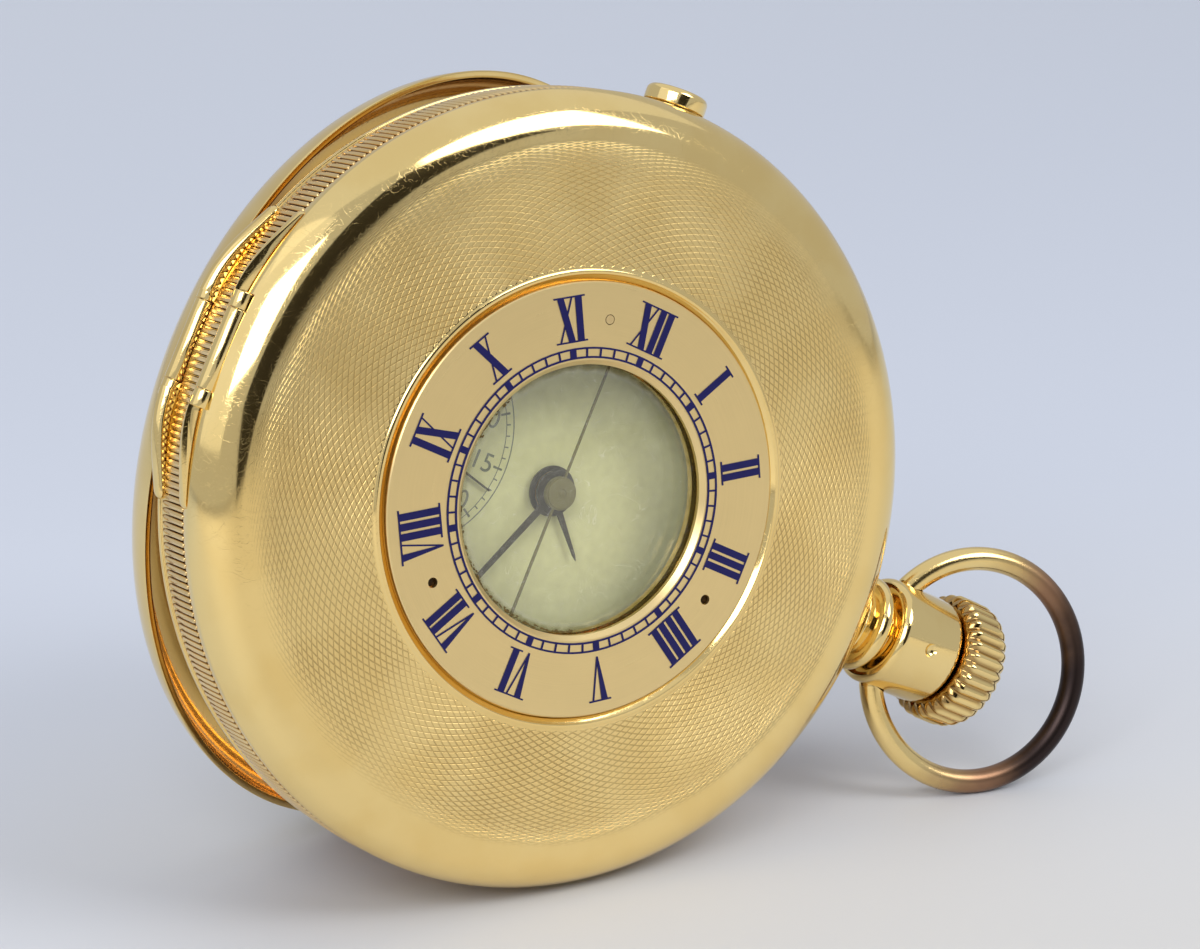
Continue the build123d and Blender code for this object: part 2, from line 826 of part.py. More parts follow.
# Window glass and the ring that holds it from behind
def meniscus(radius, rim_front, thickness, dome, flat_rim):
    """Half section of a domed glass with a flat rim."""
    bend = radius - flat_rim
    middle = bend / 2
    rise = sagged(bend, dome, middle)
    rim_back = rim_front - thickness
    with BuildSketch(section()) as drawn:
        with BuildLine():
            Polyline((bend, rim_front), (radius, rim_front), (radius, rim_back), (bend, rim_back))
            ThreePointArc((bend, rim_back), (middle, rim_back + rise), (0, rim_back + dome))
            Line((0, rim_back + dome), (0, rim_front + dome))
            ThreePointArc((0, rim_front + dome), (middle, rim_front + rise), (bend, rim_front))
        make_face()
    return drawn.sketch


glass_rim = window_glass_radius - window_radius + seat_gap
window_form = (window_glass_radius, glass_edge, window_glass_thickness, window_glass_dome, glass_rim)
with BuildPart() as window_crystal:
    revolve(meniscus(*window_form), axis=spindle())
export(window_crystal, "window_crystal")

glass_foot = glass_edge - window_glass_thickness
window_ring_corners = (
    (window_radius, glass_foot),
    (window_glass_radius, glass_foot),
    (window_glass_radius, boss_floor),
    (window_ring_radius, boss_floor),
    (window_ring_radius, boss_floor - window_ring_thickness),
    (window_radius, boss_floor - window_ring_thickness),
)
with BuildPart() as window_retaining_ring:
    revolve(steps(0, 0, window_ring_corners), axis=spindle())
export(window_retaining_ring, "window_retaining_ring")

# Back cover, drawn on the frame that is swung open
back_form = (case_radius, back_cover_foot, 0, back_shoulder, back_rim_slope, back_crown_slope, back_wall)
with BuildPart() as back_cover:
    revolve(shell(*back_form, -1, opened_back), axis=spindle(0, 0, opened_back))
    for start in relief_starts:
        relief = barrel(*back_hinge, start, knuckle_radius + knuckle_relief, opened_back)
        extrude(relief, amount=relief_length, mode=Mode.SUBTRACT)
    extrude(barrel(*back_hinge, -centre_knuckle / 2, knuckle_radius, opened_back), amount=centre_knuckle)
    pin_bore = barrel(*back_hinge, -centre_knuckle / 2, hinge_bore, opened_back)
    extrude(pin_bore, amount=centre_knuckle, mode=Mode.SUBTRACT)
export(back_cover, "back_cover")

# Cuvette, the inner dust cover
cuvette_radius = cuvette_seat_radius - seat_gap
cuvette_form = (cuvette_radius, cuvette_foot, cuvette_skirt, cuvette_shoulder, 0, cuvette_crown_slope)
half_knuckle = cuvette_centre_knuckle / 2
with BuildPart() as cuvette:
    revolve(shell(*cuvette_form, cuvette_wall, -1), axis=spindle())
    length = cuvette_side_knuckle + 2 * knuckle_relief
    for start in (half_knuckle, -half_knuckle - length):
        relief = barrel(*cuvette_hinge, start, cuvette_knuckle_radius + knuckle_relief)
        extrude(relief, amount=length, mode=Mode.SUBTRACT)
    extrude(barrel(*cuvette_hinge, -half_knuckle, cuvette_knuckle_radius), amount=cuvette_centre_knuckle)
    with BuildSketch(level(back_seam - seat_gap)):
        with Locations((-cuvette_radius + 2 * cuvette_wall, 0)):
            arm_length = cuvette_hinge_x - cuvette_radius + 2 * cuvette_wall
            Rectangle(arm_length, cuvette_centre_knuckle, align=(Align.MAX, Align.CENTER))
    extrude(amount=-cuvette_wall)
    pin_bore = barrel(*cuvette_hinge, -half_knuckle, cuvette_pin_radius + shaft_gap)
    extrude(pin_bore, amount=cuvette_centre_knuckle, mode=Mode.SUBTRACT)
export(cuvette, "cuvette")

pins = []
for hinge in both_hinges:
    length = centre_knuckle + 2 * side_knuckle + 2 * seam_gap
    with BuildPart() as hinge_pin:
        extrude(barrel(*hinge, -length / 2, pin_radius), amount=length)
    pins.append(hinge_pin.part)
group(pins, "cover_hinge_pins")

with BuildPart() as cuvette_pin:
    length = cuvette_centre_knuckle + 2 * cuvette_side_knuckle + 2 * seam_gap
    extrude(barrel(*cuvette_hinge, -length / 2, cuvette_pin_radius), amount=length)
export(cuvette_pin, "cuvette_hinge_pin")

# Glass and bezel over the dial
bezel_foot = bezel_seat
bezel_front = bezel_foot + bezel_height
glass_seat = bezel_front - dial_glass_thickness - dial_glass_dome
bezel_corners = (
    (bezel_bore, bezel_foot),
    (bezel_seat_radius - seat_gap, bezel_foot),
    (bezel_seat_radius - seat_gap, bezel_foot + bezel_height / 2),
    (dial_glass_radius + 2 * dial_glass_dome + dial_glass_thickness, bezel_front),
    (dial_glass_radius + seat_gap, bezel_front),
    (dial_glass_radius + seat_gap, glass_seat),
    (bezel_bore, glass_seat),
)
with BuildPart() as glass_bezel:
    revolve(steps(0, 0, bezel_corners), axis=spindle())
export(glass_bezel, "glass_bezel")

glass_front = glass_seat + dial_glass_thickness
glass_rim = dial_glass_radius - bezel_bore
dial_glass_form = (dial_glass_radius, glass_front, dial_glass_thickness, dial_glass_dome, glass_rim)
with BuildPart() as dial_crystal:
    revolve(meniscus(*dial_glass_form), axis=spindle())
export(dial_crystal, "dial_crystal")

# Pendant with its stem sleeve
neck_start = case_radius + 3 * seat_gap
bead_start = neck_start + neck_length
bead_end = bead_start + neck_bead_length
drum_start = bead_end + neck_groove_length
drum_end = drum_start + drum_length
bow_pivot_x = drum_start + bow_pivot
bead_middle = (bead_start + bead_end) / 2
bead_bend = neck_bead_radius - neck_bead_length / 2
throat_start = plate_radius + 2 * seat_gap


def stem_section():
    """Plane of radius and distance from the dial's axis, through the pendant's axis."""
    return Plane(origin=along_x(0, -pendant_depth).origin, x_dir=watch.y_dir, z_dir=-watch.z_dir)


def pendant_section():
    """Half section of the pendant about its own axis."""
    corner = drum_rounding * (1 - math.sqrt(0.5))
    flat_radius = drum_radius - drum_rounding
    bend_radius = drum_radius - corner
    side_end = drum_end - drum_rounding
    side_start = drum_start + drum_rounding
    with BuildSketch(stem_section()) as drawn:
        with BuildLine():
            Polyline(
                (bead_bend, bead_start),
                (neck_radius, bead_start),
                (neck_radius, bead_start - neck_length / 3),
                (neck_foot_radius, neck_start),
                (spigot_radius, neck_start),
                (spigot_radius, throat_start),
                (throat_radius, throat_start),
                (throat_radius, neck_start),
                (pendant_bore, neck_start),
                (pendant_bore, drum_end),
                (flat_radius, drum_end),
            )
            ThreePointArc((flat_radius, drum_end), (bend_radius, drum_end - corner), (drum_radius, side_end))
            Line((drum_radius, side_end), (drum_radius, side_start))
            foot_bend = (bend_radius, drum_start + corner)
            ThreePointArc((drum_radius, side_start), foot_bend, (flat_radius, drum_start))
            Polyline(
                (flat_radius, drum_start),
                (neck_radius, drum_start),
                (neck_radius, bead_end),
                (bead_bend, bead_end),
            )
            ThreePointArc((bead_bend, bead_end), (neck_bead_radius, bead_middle), (bead_bend, bead_start))
        make_face()
    return drawn.sketch


stem_axis = Axis(origin=along_x(0, -pendant_depth).origin, direction=watch.x_dir)
with BuildPart() as pendant:
    revolve(pendant_section(), axis=stem_axis)
    for side in (-1, 1):
        recess_start = drum_radius - bow_recess_depth if side > 0 else -drum_radius - overrun
        recess = disc(along_y(bow_pivot_x, recess_start, -pendant_depth), bow_recess_radius)
        extrude(recess, amount=bow_recess_depth + overrun, mode=Mode.SUBTRACT)
        hole_start = bow_end_spread - bow_pin_length - seam_gap if side > 0 else -drum_radius
        hole_length = drum_radius - bow_end_spread + bow_pin_length + seam_gap
        hole = disc(along_y(bow_pivot_x, hole_start, -pendant_depth), bow_pin_radius + shaft_gap)
        extrude(hole, amount=hole_length, mode=Mode.SUBTRACT)
    screw_hole = disc(level(-pendant_depth, bow_pivot_x), bow_screw_radius + shaft_gap)
    extrude(screw_hole, amount=drum_radius + overrun, mode=Mode.SUBTRACT)
export(pendant, "pendant")

with BuildPart() as stem_sleeve:
    sleeve_outer = pendant_bore - shaft_gap
    sleeve = disc(along_x(neck_start, -pendant_depth), sleeve_outer, sleeve_outer - sleeve_wall)
    extrude(sleeve, amount=drum_end - neck_start)
export(stem_sleeve, "stem_sleeve")

with BuildPart() as bow_screw:
    screw_front = -pendant_depth + drum_radius
    screw_length = drum_radius - pendant_bore - shaft_gap
    screw_body = disc(level(screw_front - screw_length, bow_pivot_x), bow_screw_radius)
    extrude(screw_body, amount=screw_length - seat_gap)
    with BuildSketch(level(screw_front - seat_gap, bow_pivot_x)):
        Rectangle(screw_slot, 2 * bow_screw_radius + overrun)
    extrude(amount=-screw_slot, mode=Mode.SUBTRACT)
export(bow_screw, "bow_screw")

# Bow, drawn on a frame that is swung about its pivot
bow_frame = swung(bow_pivot_x, -pendant_depth, -bow_swing)
bow_reach = math.sqrt(bow_radius ** 2 - bow_end_spread ** 2)
bow_half_gap = math.degrees(math.asin(bow_end_spread / bow_radius))
with BuildPart() as bow:
    bow_level = level(-pendant_depth, bow_pivot_x + bow_reach, 0, bow_frame)
    turn = math.radians(bow_half_gap)
    radial = -bow_level.x_dir * math.cos(turn) - bow_level.y_dir * math.sin(turn)
    wire_plane = Plane(
        origin=bow_level.origin + radial * bow_radius,
        x_dir=radial,
        z_dir=radial.cross(bow_level.z_dir),
    )
    ring_axis = Axis(origin=bow_level.origin, direction=bow_level.z_dir)
    revolve(disc(wire_plane, bow_wire), axis=ring_axis, revolution_arc=360 - 2 * bow_half_gap)
    for side in (-1, 1):
        end = level(-pendant_depth, bow_pivot_x, side * bow_end_spread, bow_frame)
        with Locations(end):
            Sphere(bow_wire)
        start = bow_end_spread - bow_pin_length if side > 0 else -bow_end_spread
        pin = disc(along_y(bow_pivot_x, start, -pendant_depth, bow_frame), bow_pin_radius)
        extrude(pin, amount=bow_pin_length)
export(bow, "bow")

# Crown on its stem
crown_start = drum_end + crown_gap
crown_end = crown_start + crown_length


def crown_outline(plane):
    """Scalloped outline of the crown's reeded barrel."""
    corners = []
    for reed in range(crown_reeds):
        pitch = 360 / crown_reeds
        corners.append(polar(crown_radius - crown_reed_depth, (reed - 0.5) * pitch))
        corners.append(polar(crown_radius, (reed - 0.22) * pitch))
        corners.append(polar(crown_radius, (reed + 0.22) * pitch))
    return outline(plane, corners)


def crown_envelope():
    """Half section that rounds the crown's ends."""
    rounding = crown_dome / 2
    outer = crown_radius + seat_gap
    face_radius = outer - rounding
    shoulder = crown_end - crown_dome
    with BuildSketch(stem_section()) as drawn:
        with BuildLine():
            Polyline(
                (0, crown_end),
                (0, crown_start),
                (face_radius, crown_start),
                (outer, crown_start + rounding),
                (outer, shoulder - rounding),
                (face_radius, shoulder),
            )
            middle = (face_radius / 2, shoulder + sagged(face_radius, crown_dome, face_radius / 2))
            ThreePointArc((face_radius, shoulder), middle, (0, crown_end))
        make_face()
    return drawn.sketch


with BuildPart() as crown:
    extrude(crown_outline(along_x(crown_start, -pendant_depth)), amount=crown_length)
    revolve(crown_envelope(), axis=stem_axis, mode=Mode.INTERSECT)
    stem_socket = disc(along_x(crown_start - overrun, -pendant_depth), stem_radius + shaft_gap / 2)
    extrude(stem_socket, amount=crown_length / 2 + overrun, mode=Mode.SUBTRACT)
export(crown, "crown")

with BuildPart() as winding_stem:
    stem_start = pinion_start - pilot_length
    stem_length = crown_start + crown_length / 2 - stem_start
    extrude(disc(along_x(stem_start, -pendant_depth), stem_radius), amount=stem_length)
export(winding_stem, "winding_stem")

with BuildPart() as winding_pinion:
    pinion_plane = along_x(pinion_start, -pendant_depth)
    leaf_down = -90 + 180 / winding_leaves
    pinion_bore = stem_radius + shaft_gap / 2
    teeth = toothed(pinion_plane, winding_leaves, winding_module, leaf_down, leaf_tooth_shares, pinion_bore)
    extrude(teeth, amount=winding_pinion_length)
export(winding_pinion, "winding_pinion")

# Push-piece with its tube and spring
push_foot = case_radius + push_stand
push_inner = plate_radius + 2 * seat_gap + push_travel
with BuildPart() as push_button:
    extrude(disc(push_seat.offset(push_foot), push_radius), amount=push_head)
    push_line = Axis(origin=push_seat.origin, direction=push_seat.z_dir)
    chamfer(edges().group_by(push_line)[-1], length=push_head / 4)
    extrude(disc(push_seat.offset(push_inner), push_stem_radius), amount=push_foot - push_inner)
export(push_button, "push_button")

with BuildPart() as push_tube:
    tube_bore = push_stem_radius + shaft_gap
    tube_start = back_bore_radius + seat_gap
    extrude(disc(push_seat.offset(tube_start), push_tube_radius, tube_bore), amount=push_floor - tube_start)
export(push_tube, "push_tube")

# Dial
fourth_place = polar(fourth_distance, 180)
dial_hole = hour_tube_radius + 2 * shaft_gap
with BuildPart() as dial:
    extrude(disc(level(plate_front), dial_radius), amount=dial_thickness)
    for place, radius in (((0, 0), dial_hole), (fourth_place, arbor_radius)):
        extrude(disc(level(plate_front, *place), radius), amount=dial_thickness, mode=Mode.SUBTRACT)
export(dial, "dial")

# Places of the train: each arbor stands where the pitch circles of its wheels and pinions touch
barrel_module = 2 * barrel_distance / (barrel_teeth + centre_leaves)
third_distance = (centre_teeth + third_leaves) * centre_module / 2
third_to_fourth = (third_teeth + fourth_leaves) * third_module / 2
third_place = polar(third_distance, 180 + corner_angle(third_distance, fourth_distance, third_to_fourth))
escape_place = polar((fourth_teeth + escape_leaves) * fourth_module / 2, escape_heading, fourth_place)
pallet_place = polar(pallet_distance, pallet_heading, escape_place)
balance_place = polar(balance_distance, pallet_heading, pallet_place)
crown_wheel_place = (crown_wheel_distance, 0)
ratchet_reach = (crown_wheel_teeth + ratchet_teeth) * ratchet_module / 2
barrel_place = polar(barrel_distance, corner_angle(crown_wheel_distance, barrel_distance, ratchet_reach))
minute_wheel_place = polar(motion_distance, motion_heading)
sweep_module = 2 * third_distance / (sweep_teeth + sweep_leaves)
sweep_bridge_front = sweep_wheel_front - wheel_thickness - 2 * wheel_gap
cock_back = top_plate_back - 0.7 * top_plate_thickness
crown_wheel_back = crown_wheel_front - winding_wheel_thickness
ratchet_tip = ratchet_teeth * ratchet_module / 2 + wheel_tooth_shares[1][0] * ratchet_module
click_place = polar(ratchet_tip + click_stand, click_heading, barrel_place)

# Main plate with its pillars
centre = (0, 0)
centre_bore = centre_tube_radius + shaft_gap
screw_bore = plate_screw_radius / 2 + shaft_gap
pivot_bore = pivot_radius + shaft_gap
arbor_bore = arbor_radius + shaft_gap
motion_floor = plate_front - motion_recess_depth
hour_wheel_radius = hour_wheel_teeth * motion_distance / (hour_wheel_teeth + minute_leaves)
motion_recess_radius = hour_wheel_radius + 4 * wheel_gap
minute_post_length = plate_front - wheel_gap - motion_floor
with BuildPart() as main_plate:
    extrude(disc(level(plate_back), plate_radius), amount=plate_thickness)
    for place in ((0, 0), minute_wheel_place):
        recess = disc(level(motion_floor, *place), motion_recess_radius)
        extrude(recess, amount=overrun + motion_recess_depth, mode=Mode.SUBTRACT)
    for place, radius in ((centre, centre_bore), (fourth_place, arbor_bore)):
        through_hole = disc(level(plate_back - overrun, *place), radius)
        extrude(through_hole, amount=plate_thickness + 2 * overrun, mode=Mode.SUBTRACT)
    for place in (third_place, escape_place, pallet_place, balance_place):
        extrude(disc(level(plate_back, *place), pivot_bore), amount=plate_thickness / 3, mode=Mode.SUBTRACT)
    arbor_hole = disc(level(plate_back, *barrel_place), pillar_radius + shaft_gap)
    extrude(arbor_hole, amount=plate_thickness / 2, mode=Mode.SUBTRACT)
    crown_boss = disc(level(plate_back, *crown_wheel_place), crown_boss_radius)
    extrude(crown_boss, amount=crown_wheel_front - plate_back)
    extrude(disc(level(plate_back, *click_place), click_stud_radius), amount=crown_wheel_back - plate_back)
    crown_screw_hole = disc(level(crown_wheel_front, *crown_wheel_place), screw_bore)
    extrude(crown_screw_hole, amount=winding_wheel_thickness + 2 * seat_gap, mode=Mode.SUBTRACT)
    minute_post = disc(level(motion_floor, *minute_wheel_place), arbor_radius - shaft_gap)
    extrude(minute_post, amount=minute_post_length)
    pilot_start = pinion_start - pilot_length - seat_gap
    pilot_hole = disc(along_x(pilot_start, -pendant_depth), stem_radius + shaft_gap)
    extrude(pilot_hole, amount=plate_radius, mode=Mode.SUBTRACT)
    with BuildSketch(level(plate_back - overrun, pinion_start - 2 * wheel_gap)):
        Rectangle(plate_radius, 2 * pinion_notch, align=(Align.MIN, Align.CENTER))
    extrude(amount=plate_thickness + 2 * overrun, mode=Mode.SUBTRACT)
    for angle in case_screw_angles:
        screw_hole = disc(level(plate_back, *polar(case_screw_circle, angle)), screw_bore)
        extrude(screw_hole, amount=top_plate_thickness + seat_gap, mode=Mode.SUBTRACT)
    for angle in pillar_angles:
        extrude(disc(level(plate_back, *polar(pillar_circle, angle)), pillar_radius), amount=-train_space)
export(main_plate, "main_plate")

# Three-quarter plate, cut away round the balance
jewel_radius = 0.8
jewel_places = (third_place, fourth_place, escape_place)
with BuildPart() as three_quarter_plate:
    extrude(disc(level(top_plate_back), top_plate_radius), amount=top_plate_thickness)
    balance_room = disc(level(top_plate_back - overrun, *balance_place), balance_radius + 4 * wheel_gap)
    extrude(balance_room, amount=top_plate_thickness + 2 * overrun, mode=Mode.SUBTRACT)
    for place in jewel_places:
        jewel_hole = disc(level(top_plate_back, *place), jewel_radius + shaft_gap / 2)
        extrude(jewel_hole, amount=top_plate_thickness, mode=Mode.SUBTRACT)
    extrude(disc(level(top_plate_back), centre_bore), amount=top_plate_thickness, mode=Mode.SUBTRACT)
    arbor_hole = disc(level(top_plate_back, *barrel_place), pillar_radius + shaft_gap)
    extrude(arbor_hole, amount=top_plate_thickness, mode=Mode.SUBTRACT)
    for angle in pillar_angles:
        screw_hole = disc(level(top_plate_back, *polar(pillar_circle, angle)), screw_bore)
        extrude(screw_hole, amount=top_plate_thickness, mode=Mode.SUBTRACT)
export(three_quarter_plate, "three_quarter_plate")

jewels = []
for place, bore in zip(jewel_places, (arbor_radius, pivot_radius, pivot_radius)):
    with BuildPart() as jewel:
        stone = disc(level(top_plate_back, *place), jewel_radius, bore + shaft_gap)
        extrude(stone, amount=top_plate_thickness)
    jewels.append(jewel.part)
group(jewels, "train_jewels")

screws = []
for angle in pillar_angles:
    screws.append(screw(polar(pillar_circle, angle), top_plate_back, screw_head_height, top_plate_thickness))
for angle in case_screw_angles:
    screws.append(screw(polar(case_screw_circle, angle), plate_back, screw_head_height, top_plate_thickness))
group(screws, "movement_screws")


# Wheels of the going train
def arbor_section(place, lower, upper, lower_pivot, upper_pivot):
    """Half section of an arbor with a thin pivot at each end."""
    corners = (
        (0, lower_pivot),
        (pivot_radius, lower_pivot),
        (pivot_radius, lower),
        (arbor_radius, lower),
        (arbor_radius, upper),
        (pivot_radius, upper),
        (pivot_radius, upper_pivot),
        (0, upper_pivot),
    )
    return steps(*place, corners)


def leaves(place, front, count, module, driver):
    """Pinion sketch with a gap towards the wheel that drives it."""
    facing = heading(place, driver) + 180 / count
    return toothed(level(front, *place), count, module, facing, leaf_tooth_shares, arbor_radius / 2)


def cut_wheel(place, front, teeth, module, facing, hub, bore):
    """Flat wheel with its teeth and four arms."""
    plane = level(front, *place)
    with BuildPart() as made:
        extrude(toothed(plane, teeth, module, facing, wheel_tooth_shares, bore), amount=-wheel_thickness)
        rim = teeth * module / 2 - 4 * module
        extrude(spoked(plane, hub, rim, 4, 3 * module), amount=-wheel_thickness, mode=Mode.SUBTRACT)
    return made.part


lower_pivot = plate_back + plate_thickness / 4
upper_pivot = top_plate_back + seat_gap
lower_shoulder = plate_back - wheel_gap
upper_shoulder = top_plate_front + wheel_gap / 2

towards_third = heading(centre, third_place)
centre_hub = 2 * centre_tube_radius
centre_disc = cut_wheel(
    centre, centre_wheel_front, centre_teeth, centre_module, towards_third, centre_hub, centre_tube_bore
)
with BuildPart() as centre_wheel:
    extrude(disc(level(top_plate_back), centre_tube_radius, centre_tube_bore), amount=centre_tube_length)
    add(centre_disc)
    centre_pinion = toothed(
        level(barrel_front + wheel_gap),
        centre_leaves,
        barrel_module,
        heading(centre, barrel_place) + 180 / centre_leaves,
        leaf_tooth_shares,
        centre_tube_bore,
    )
    extrude(centre_pinion, amount=-barrel_flange - 2 * wheel_gap)
export(centre_wheel, "centre_wheel")

towards_fourth = heading(third_place, fourth_place)
third_disc = cut_wheel(
    third_place, third_wheel_front, third_teeth, third_module, towards_fourth, 2 * arbor_radius, pivot_radius
)
third_back = sweep_wheel_front - 2 * wheel_gap
with BuildPart() as third_wheel:
    third_end = sweep_bridge_front - wheel_gap
    third_arbor = arbor_section(third_place, lower_shoulder, third_back, lower_pivot, third_end)
    revolve(third_arbor, axis=spindle(*third_place))
    add(third_disc)
    leaf_front = centre_wheel_front + wheel_gap / 2
    third_pinion = leaves(third_place, leaf_front, third_leaves, centre_module, centre)
    extrude(third_pinion, amount=-wheel_thickness - wheel_gap / 2)
export(third_wheel, "third_wheel")

sweep_bore = arbor_radius + shaft_gap / 2
sweep_hub = 3 * arbor_radius
sweep_disc = cut_wheel(
    third_place, sweep_wheel_front, sweep_teeth, sweep_module, towards_third + 180, sweep_hub, sweep_bore
)
with BuildPart() as sweep_driving_wheel:
    add(sweep_disc)
export(sweep_driving_wheel, "sweep_driving_wheel")

sweep_end = dial_face + glass_clearance - 4 * wheel_gap
with BuildPart() as sweep_seconds_pinion:
    sweep_corners = (
        (0, sweep_bridge_front - 2 * wheel_gap),
        (pivot_radius, sweep_bridge_front - 2 * wheel_gap),
        (pivot_radius, sweep_bridge_front + wheel_gap / 2),
        (sweep_arbor_radius, sweep_bridge_front + wheel_gap / 2),
        (sweep_arbor_radius, sweep_end),
        (0, sweep_end),
    )
    revolve(steps(0, 0, sweep_corners), axis=spindle())
    sweep_pinion = toothed(
        level(sweep_wheel_front + wheel_gap / 2),
        sweep_leaves,
        sweep_module,
        towards_third + 180 / sweep_leaves,
        leaf_tooth_shares,
        pivot_radius,
    )
    extrude(sweep_pinion, amount=-wheel_thickness - wheel_gap)
export(sweep_seconds_pinion, "sweep_seconds_pinion")

small_hand_level = dial_face + hand_thickness + shaft_gap
towards_escape = heading(fourth_place, escape_place)
arbor_hub = 2 * arbor_radius
fourth_disc = cut_wheel(
    fourth_place, fourth_wheel_front, fourth_teeth, fourth_module, towards_escape, arbor_hub, pivot_radius
)
with BuildPart() as fourth_wheel:
    fourth_corners = (
        (0, upper_pivot),
        (pivot_radius, upper_pivot),
        (pivot_radius, upper_shoulder),
        (arbor_radius, upper_shoulder),
        (arbor_radius, lower_shoulder),
        (arbor_radius / 2, lower_shoulder),
        (arbor_radius / 2, small_hand_level + hand_thickness),
        (0, small_hand_level + hand_thickness),
    )
    revolve(steps(*fourth_place, fourth_corners), axis=spindle(*fourth_place))
    add(fourth_disc)
    leaf_front = third_wheel_front + wheel_gap
    fourth_pinion = leaves(fourth_place, leaf_front, fourth_leaves, third_module, third_place)
    extrude(fourth_pinion, amount=-wheel_thickness - 2 * wheel_gap)
export(fourth_wheel, "fourth_wheel")


# Lever escapement
def escape_outline(plane):
    """Escape wheel with pointed teeth that lean the way it turns."""
    corners = []
    for tooth in range(escape_teeth):
        for radius_share, pitch_share in escape_tooth_shares:
            corners.append(polar(escape_radius * radius_share, 360 * (tooth + pitch_share) / escape_teeth))
    return outline(plane, corners)


with BuildPart() as escape_wheel:
    escape_arbor = arbor_section(escape_place, lower_shoulder, upper_shoulder, lower_pivot, upper_pivot)
    revolve(escape_arbor, axis=spindle(*escape_place))
    escape_plane = level(escape_wheel_front, *escape_place)
    extrude(escape_outline(escape_plane), amount=-wheel_thickness)
    window_edge = escape_radius * escape_rim_share
    escape_windows = spoked(escape_plane, arbor_hub, window_edge, 4, arbor_radius)
    extrude(escape_windows, amount=-wheel_thickness, mode=Mode.SUBTRACT)
    leaf_front = fourth_wheel_front + wheel_gap
    escape_pinion = leaves(escape_place, leaf_front, escape_leaves, fourth_module, fourth_place)
    extrude(escape_pinion, amount=-wheel_thickness - 2 * wheel_gap)
export(escape_wheel, "escape_wheel")

pallet_cock_front = fourth_wheel_front + 1.5 * wheel_gap
pallet_span = math.radians(pallet_half_span)
fork_frame = turned_to(pallet_heading)
with BuildPart() as pallet_fork:
    fork_origin = level(escape_wheel_front, *pallet_place).origin
    fork_level = Plane(origin=fork_origin, x_dir=fork_frame.x_dir, z_dir=watch.z_dir)
    arm_reach = balance_distance - roller_radius - wheel_gap
    pallet_spread = escape_radius * math.sin(pallet_span) + wheel_gap
    pallet_reach = pallet_distance - escape_radius * math.cos(pallet_span) - 2 * wheel_gap
    fork_corners = (
        (-pallet_reach, -pallet_spread),
        (-pallet_reach + fork_horn, -pallet_spread - fork_horn),
        (arbor_radius, -arbor_radius),
        (arm_reach - fork_horn, -fork_horn / 2),
        (arm_reach, -fork_horn),
        (arm_reach, -fork_horn / 2),
        (arm_reach - fork_horn, 0),
        (arm_reach, fork_horn / 2),
        (arm_reach, fork_horn),
        (arm_reach - fork_horn, fork_horn / 2),
        (arbor_radius, arbor_radius),
        (-pallet_reach + fork_horn, pallet_spread + fork_horn),
        (-pallet_reach, pallet_spread),
        (-arbor_radius / 2, arbor_radius),
        (-arbor_radius / 2, -arbor_radius),
    )
    extrude(outline(fork_level, fork_corners), amount=-wheel_thickness)
    cock_face = pallet_cock_front - pallet_cock_thickness
    fork_arbor = arbor_section(
        pallet_place, lower_shoulder, pallet_cock_front + wheel_gap / 2, lower_pivot, cock_face
    )
    revolve(fork_arbor, axis=spindle(*pallet_place))
export(pallet_fork, "pallet_fork")

pallet_foot_place = polar(pallet_foot_distance, pallet_foot_heading, pallet_place)
cock_ends = (pallet_place, pallet_foot_place)
with BuildPart() as pallet_cock:
    with BuildSketch(level(pallet_cock_front)):
        with BuildLine():
            corners = []
            for place, turn in zip(cock_ends + cock_ends[::-1], (90, 90, -90, -90)):
                corners.append(polar(pallet_cock_width / 2, heading(*cock_ends) + turn, place))
            Polyline(*corners, close=True)
        make_face()
        with Locations(*cock_ends):
            Circle(pallet_cock_width / 2)
    extrude(amount=-pallet_cock_thickness)
    foot = disc(level(pallet_cock_front, *pallet_foot_place), pallet_cock_width / 2)
    extrude(foot, amount=plate_back - pallet_cock_front)
    pivot_hole = disc(level(pallet_cock_front, *pallet_place), pivot_bore)
    extrude(pivot_hole, amount=-pallet_cock_thickness, mode=Mode.SUBTRACT)
export(pallet_cock, "pallet_cock")

# Balance with its screws, roller and hairspring
balance_level = level(balance_front, *balance_place)
rim_middle = balance_radius - balance_rim / 2
with BuildPart() as balance_wheel:
    rim = disc(balance_level, balance_radius - balance_screw_radius, balance_radius - balance_rim)
    extrude(rim, amount=-balance_height)
    extrude(disc(balance_level, balance_hub), amount=-balance_height)
    with BuildSketch(balance_level):
        Rectangle(2 * rim_middle, balance_arm)
    extrude(amount=-balance_height / 2)
    rim_centre = level(balance_front - balance_height / 2, *balance_place).origin
    for step in range(balance_screw_count):
        frame = turned_to(360 * (step + 0.5) / balance_screw_count)
        face = Plane(origin=rim_centre + frame.x_dir * rim_middle, x_dir=frame.y_dir, z_dir=frame.x_dir)
        extrude(disc(face, balance_screw_radius * balance_screw_share), amount=balance_rim / 2)
    hub_hole = disc(balance_level, arbor_radius + shaft_gap / 2)
    extrude(hub_hole, amount=-balance_height, mode=Mode.SUBTRACT)
export(balance_wheel, "balance_wheel")

hairspring_front = balance_back - wheel_gap
roller_level = fourth_wheel_front + wheel_gap
with BuildPart() as balance_staff:
    staff = arbor_section(
        balance_place, lower_shoulder, top_plate_back + wheel_gap / 2, lower_pivot, cock_back + wheel_gap
    )
    revolve(staff, axis=spindle(*balance_place))
    extrude(disc(level(roller_level, *balance_place), roller_radius), amount=-wheel_thickness)
    jewel_place = polar(impulse_share * roller_radius, 180 + pallet_heading, balance_place)
    extrude(disc(level(roller_level, *jewel_place), pivot_radius), amount=wheel_gap)
export(balance_staff, "balance_staff")

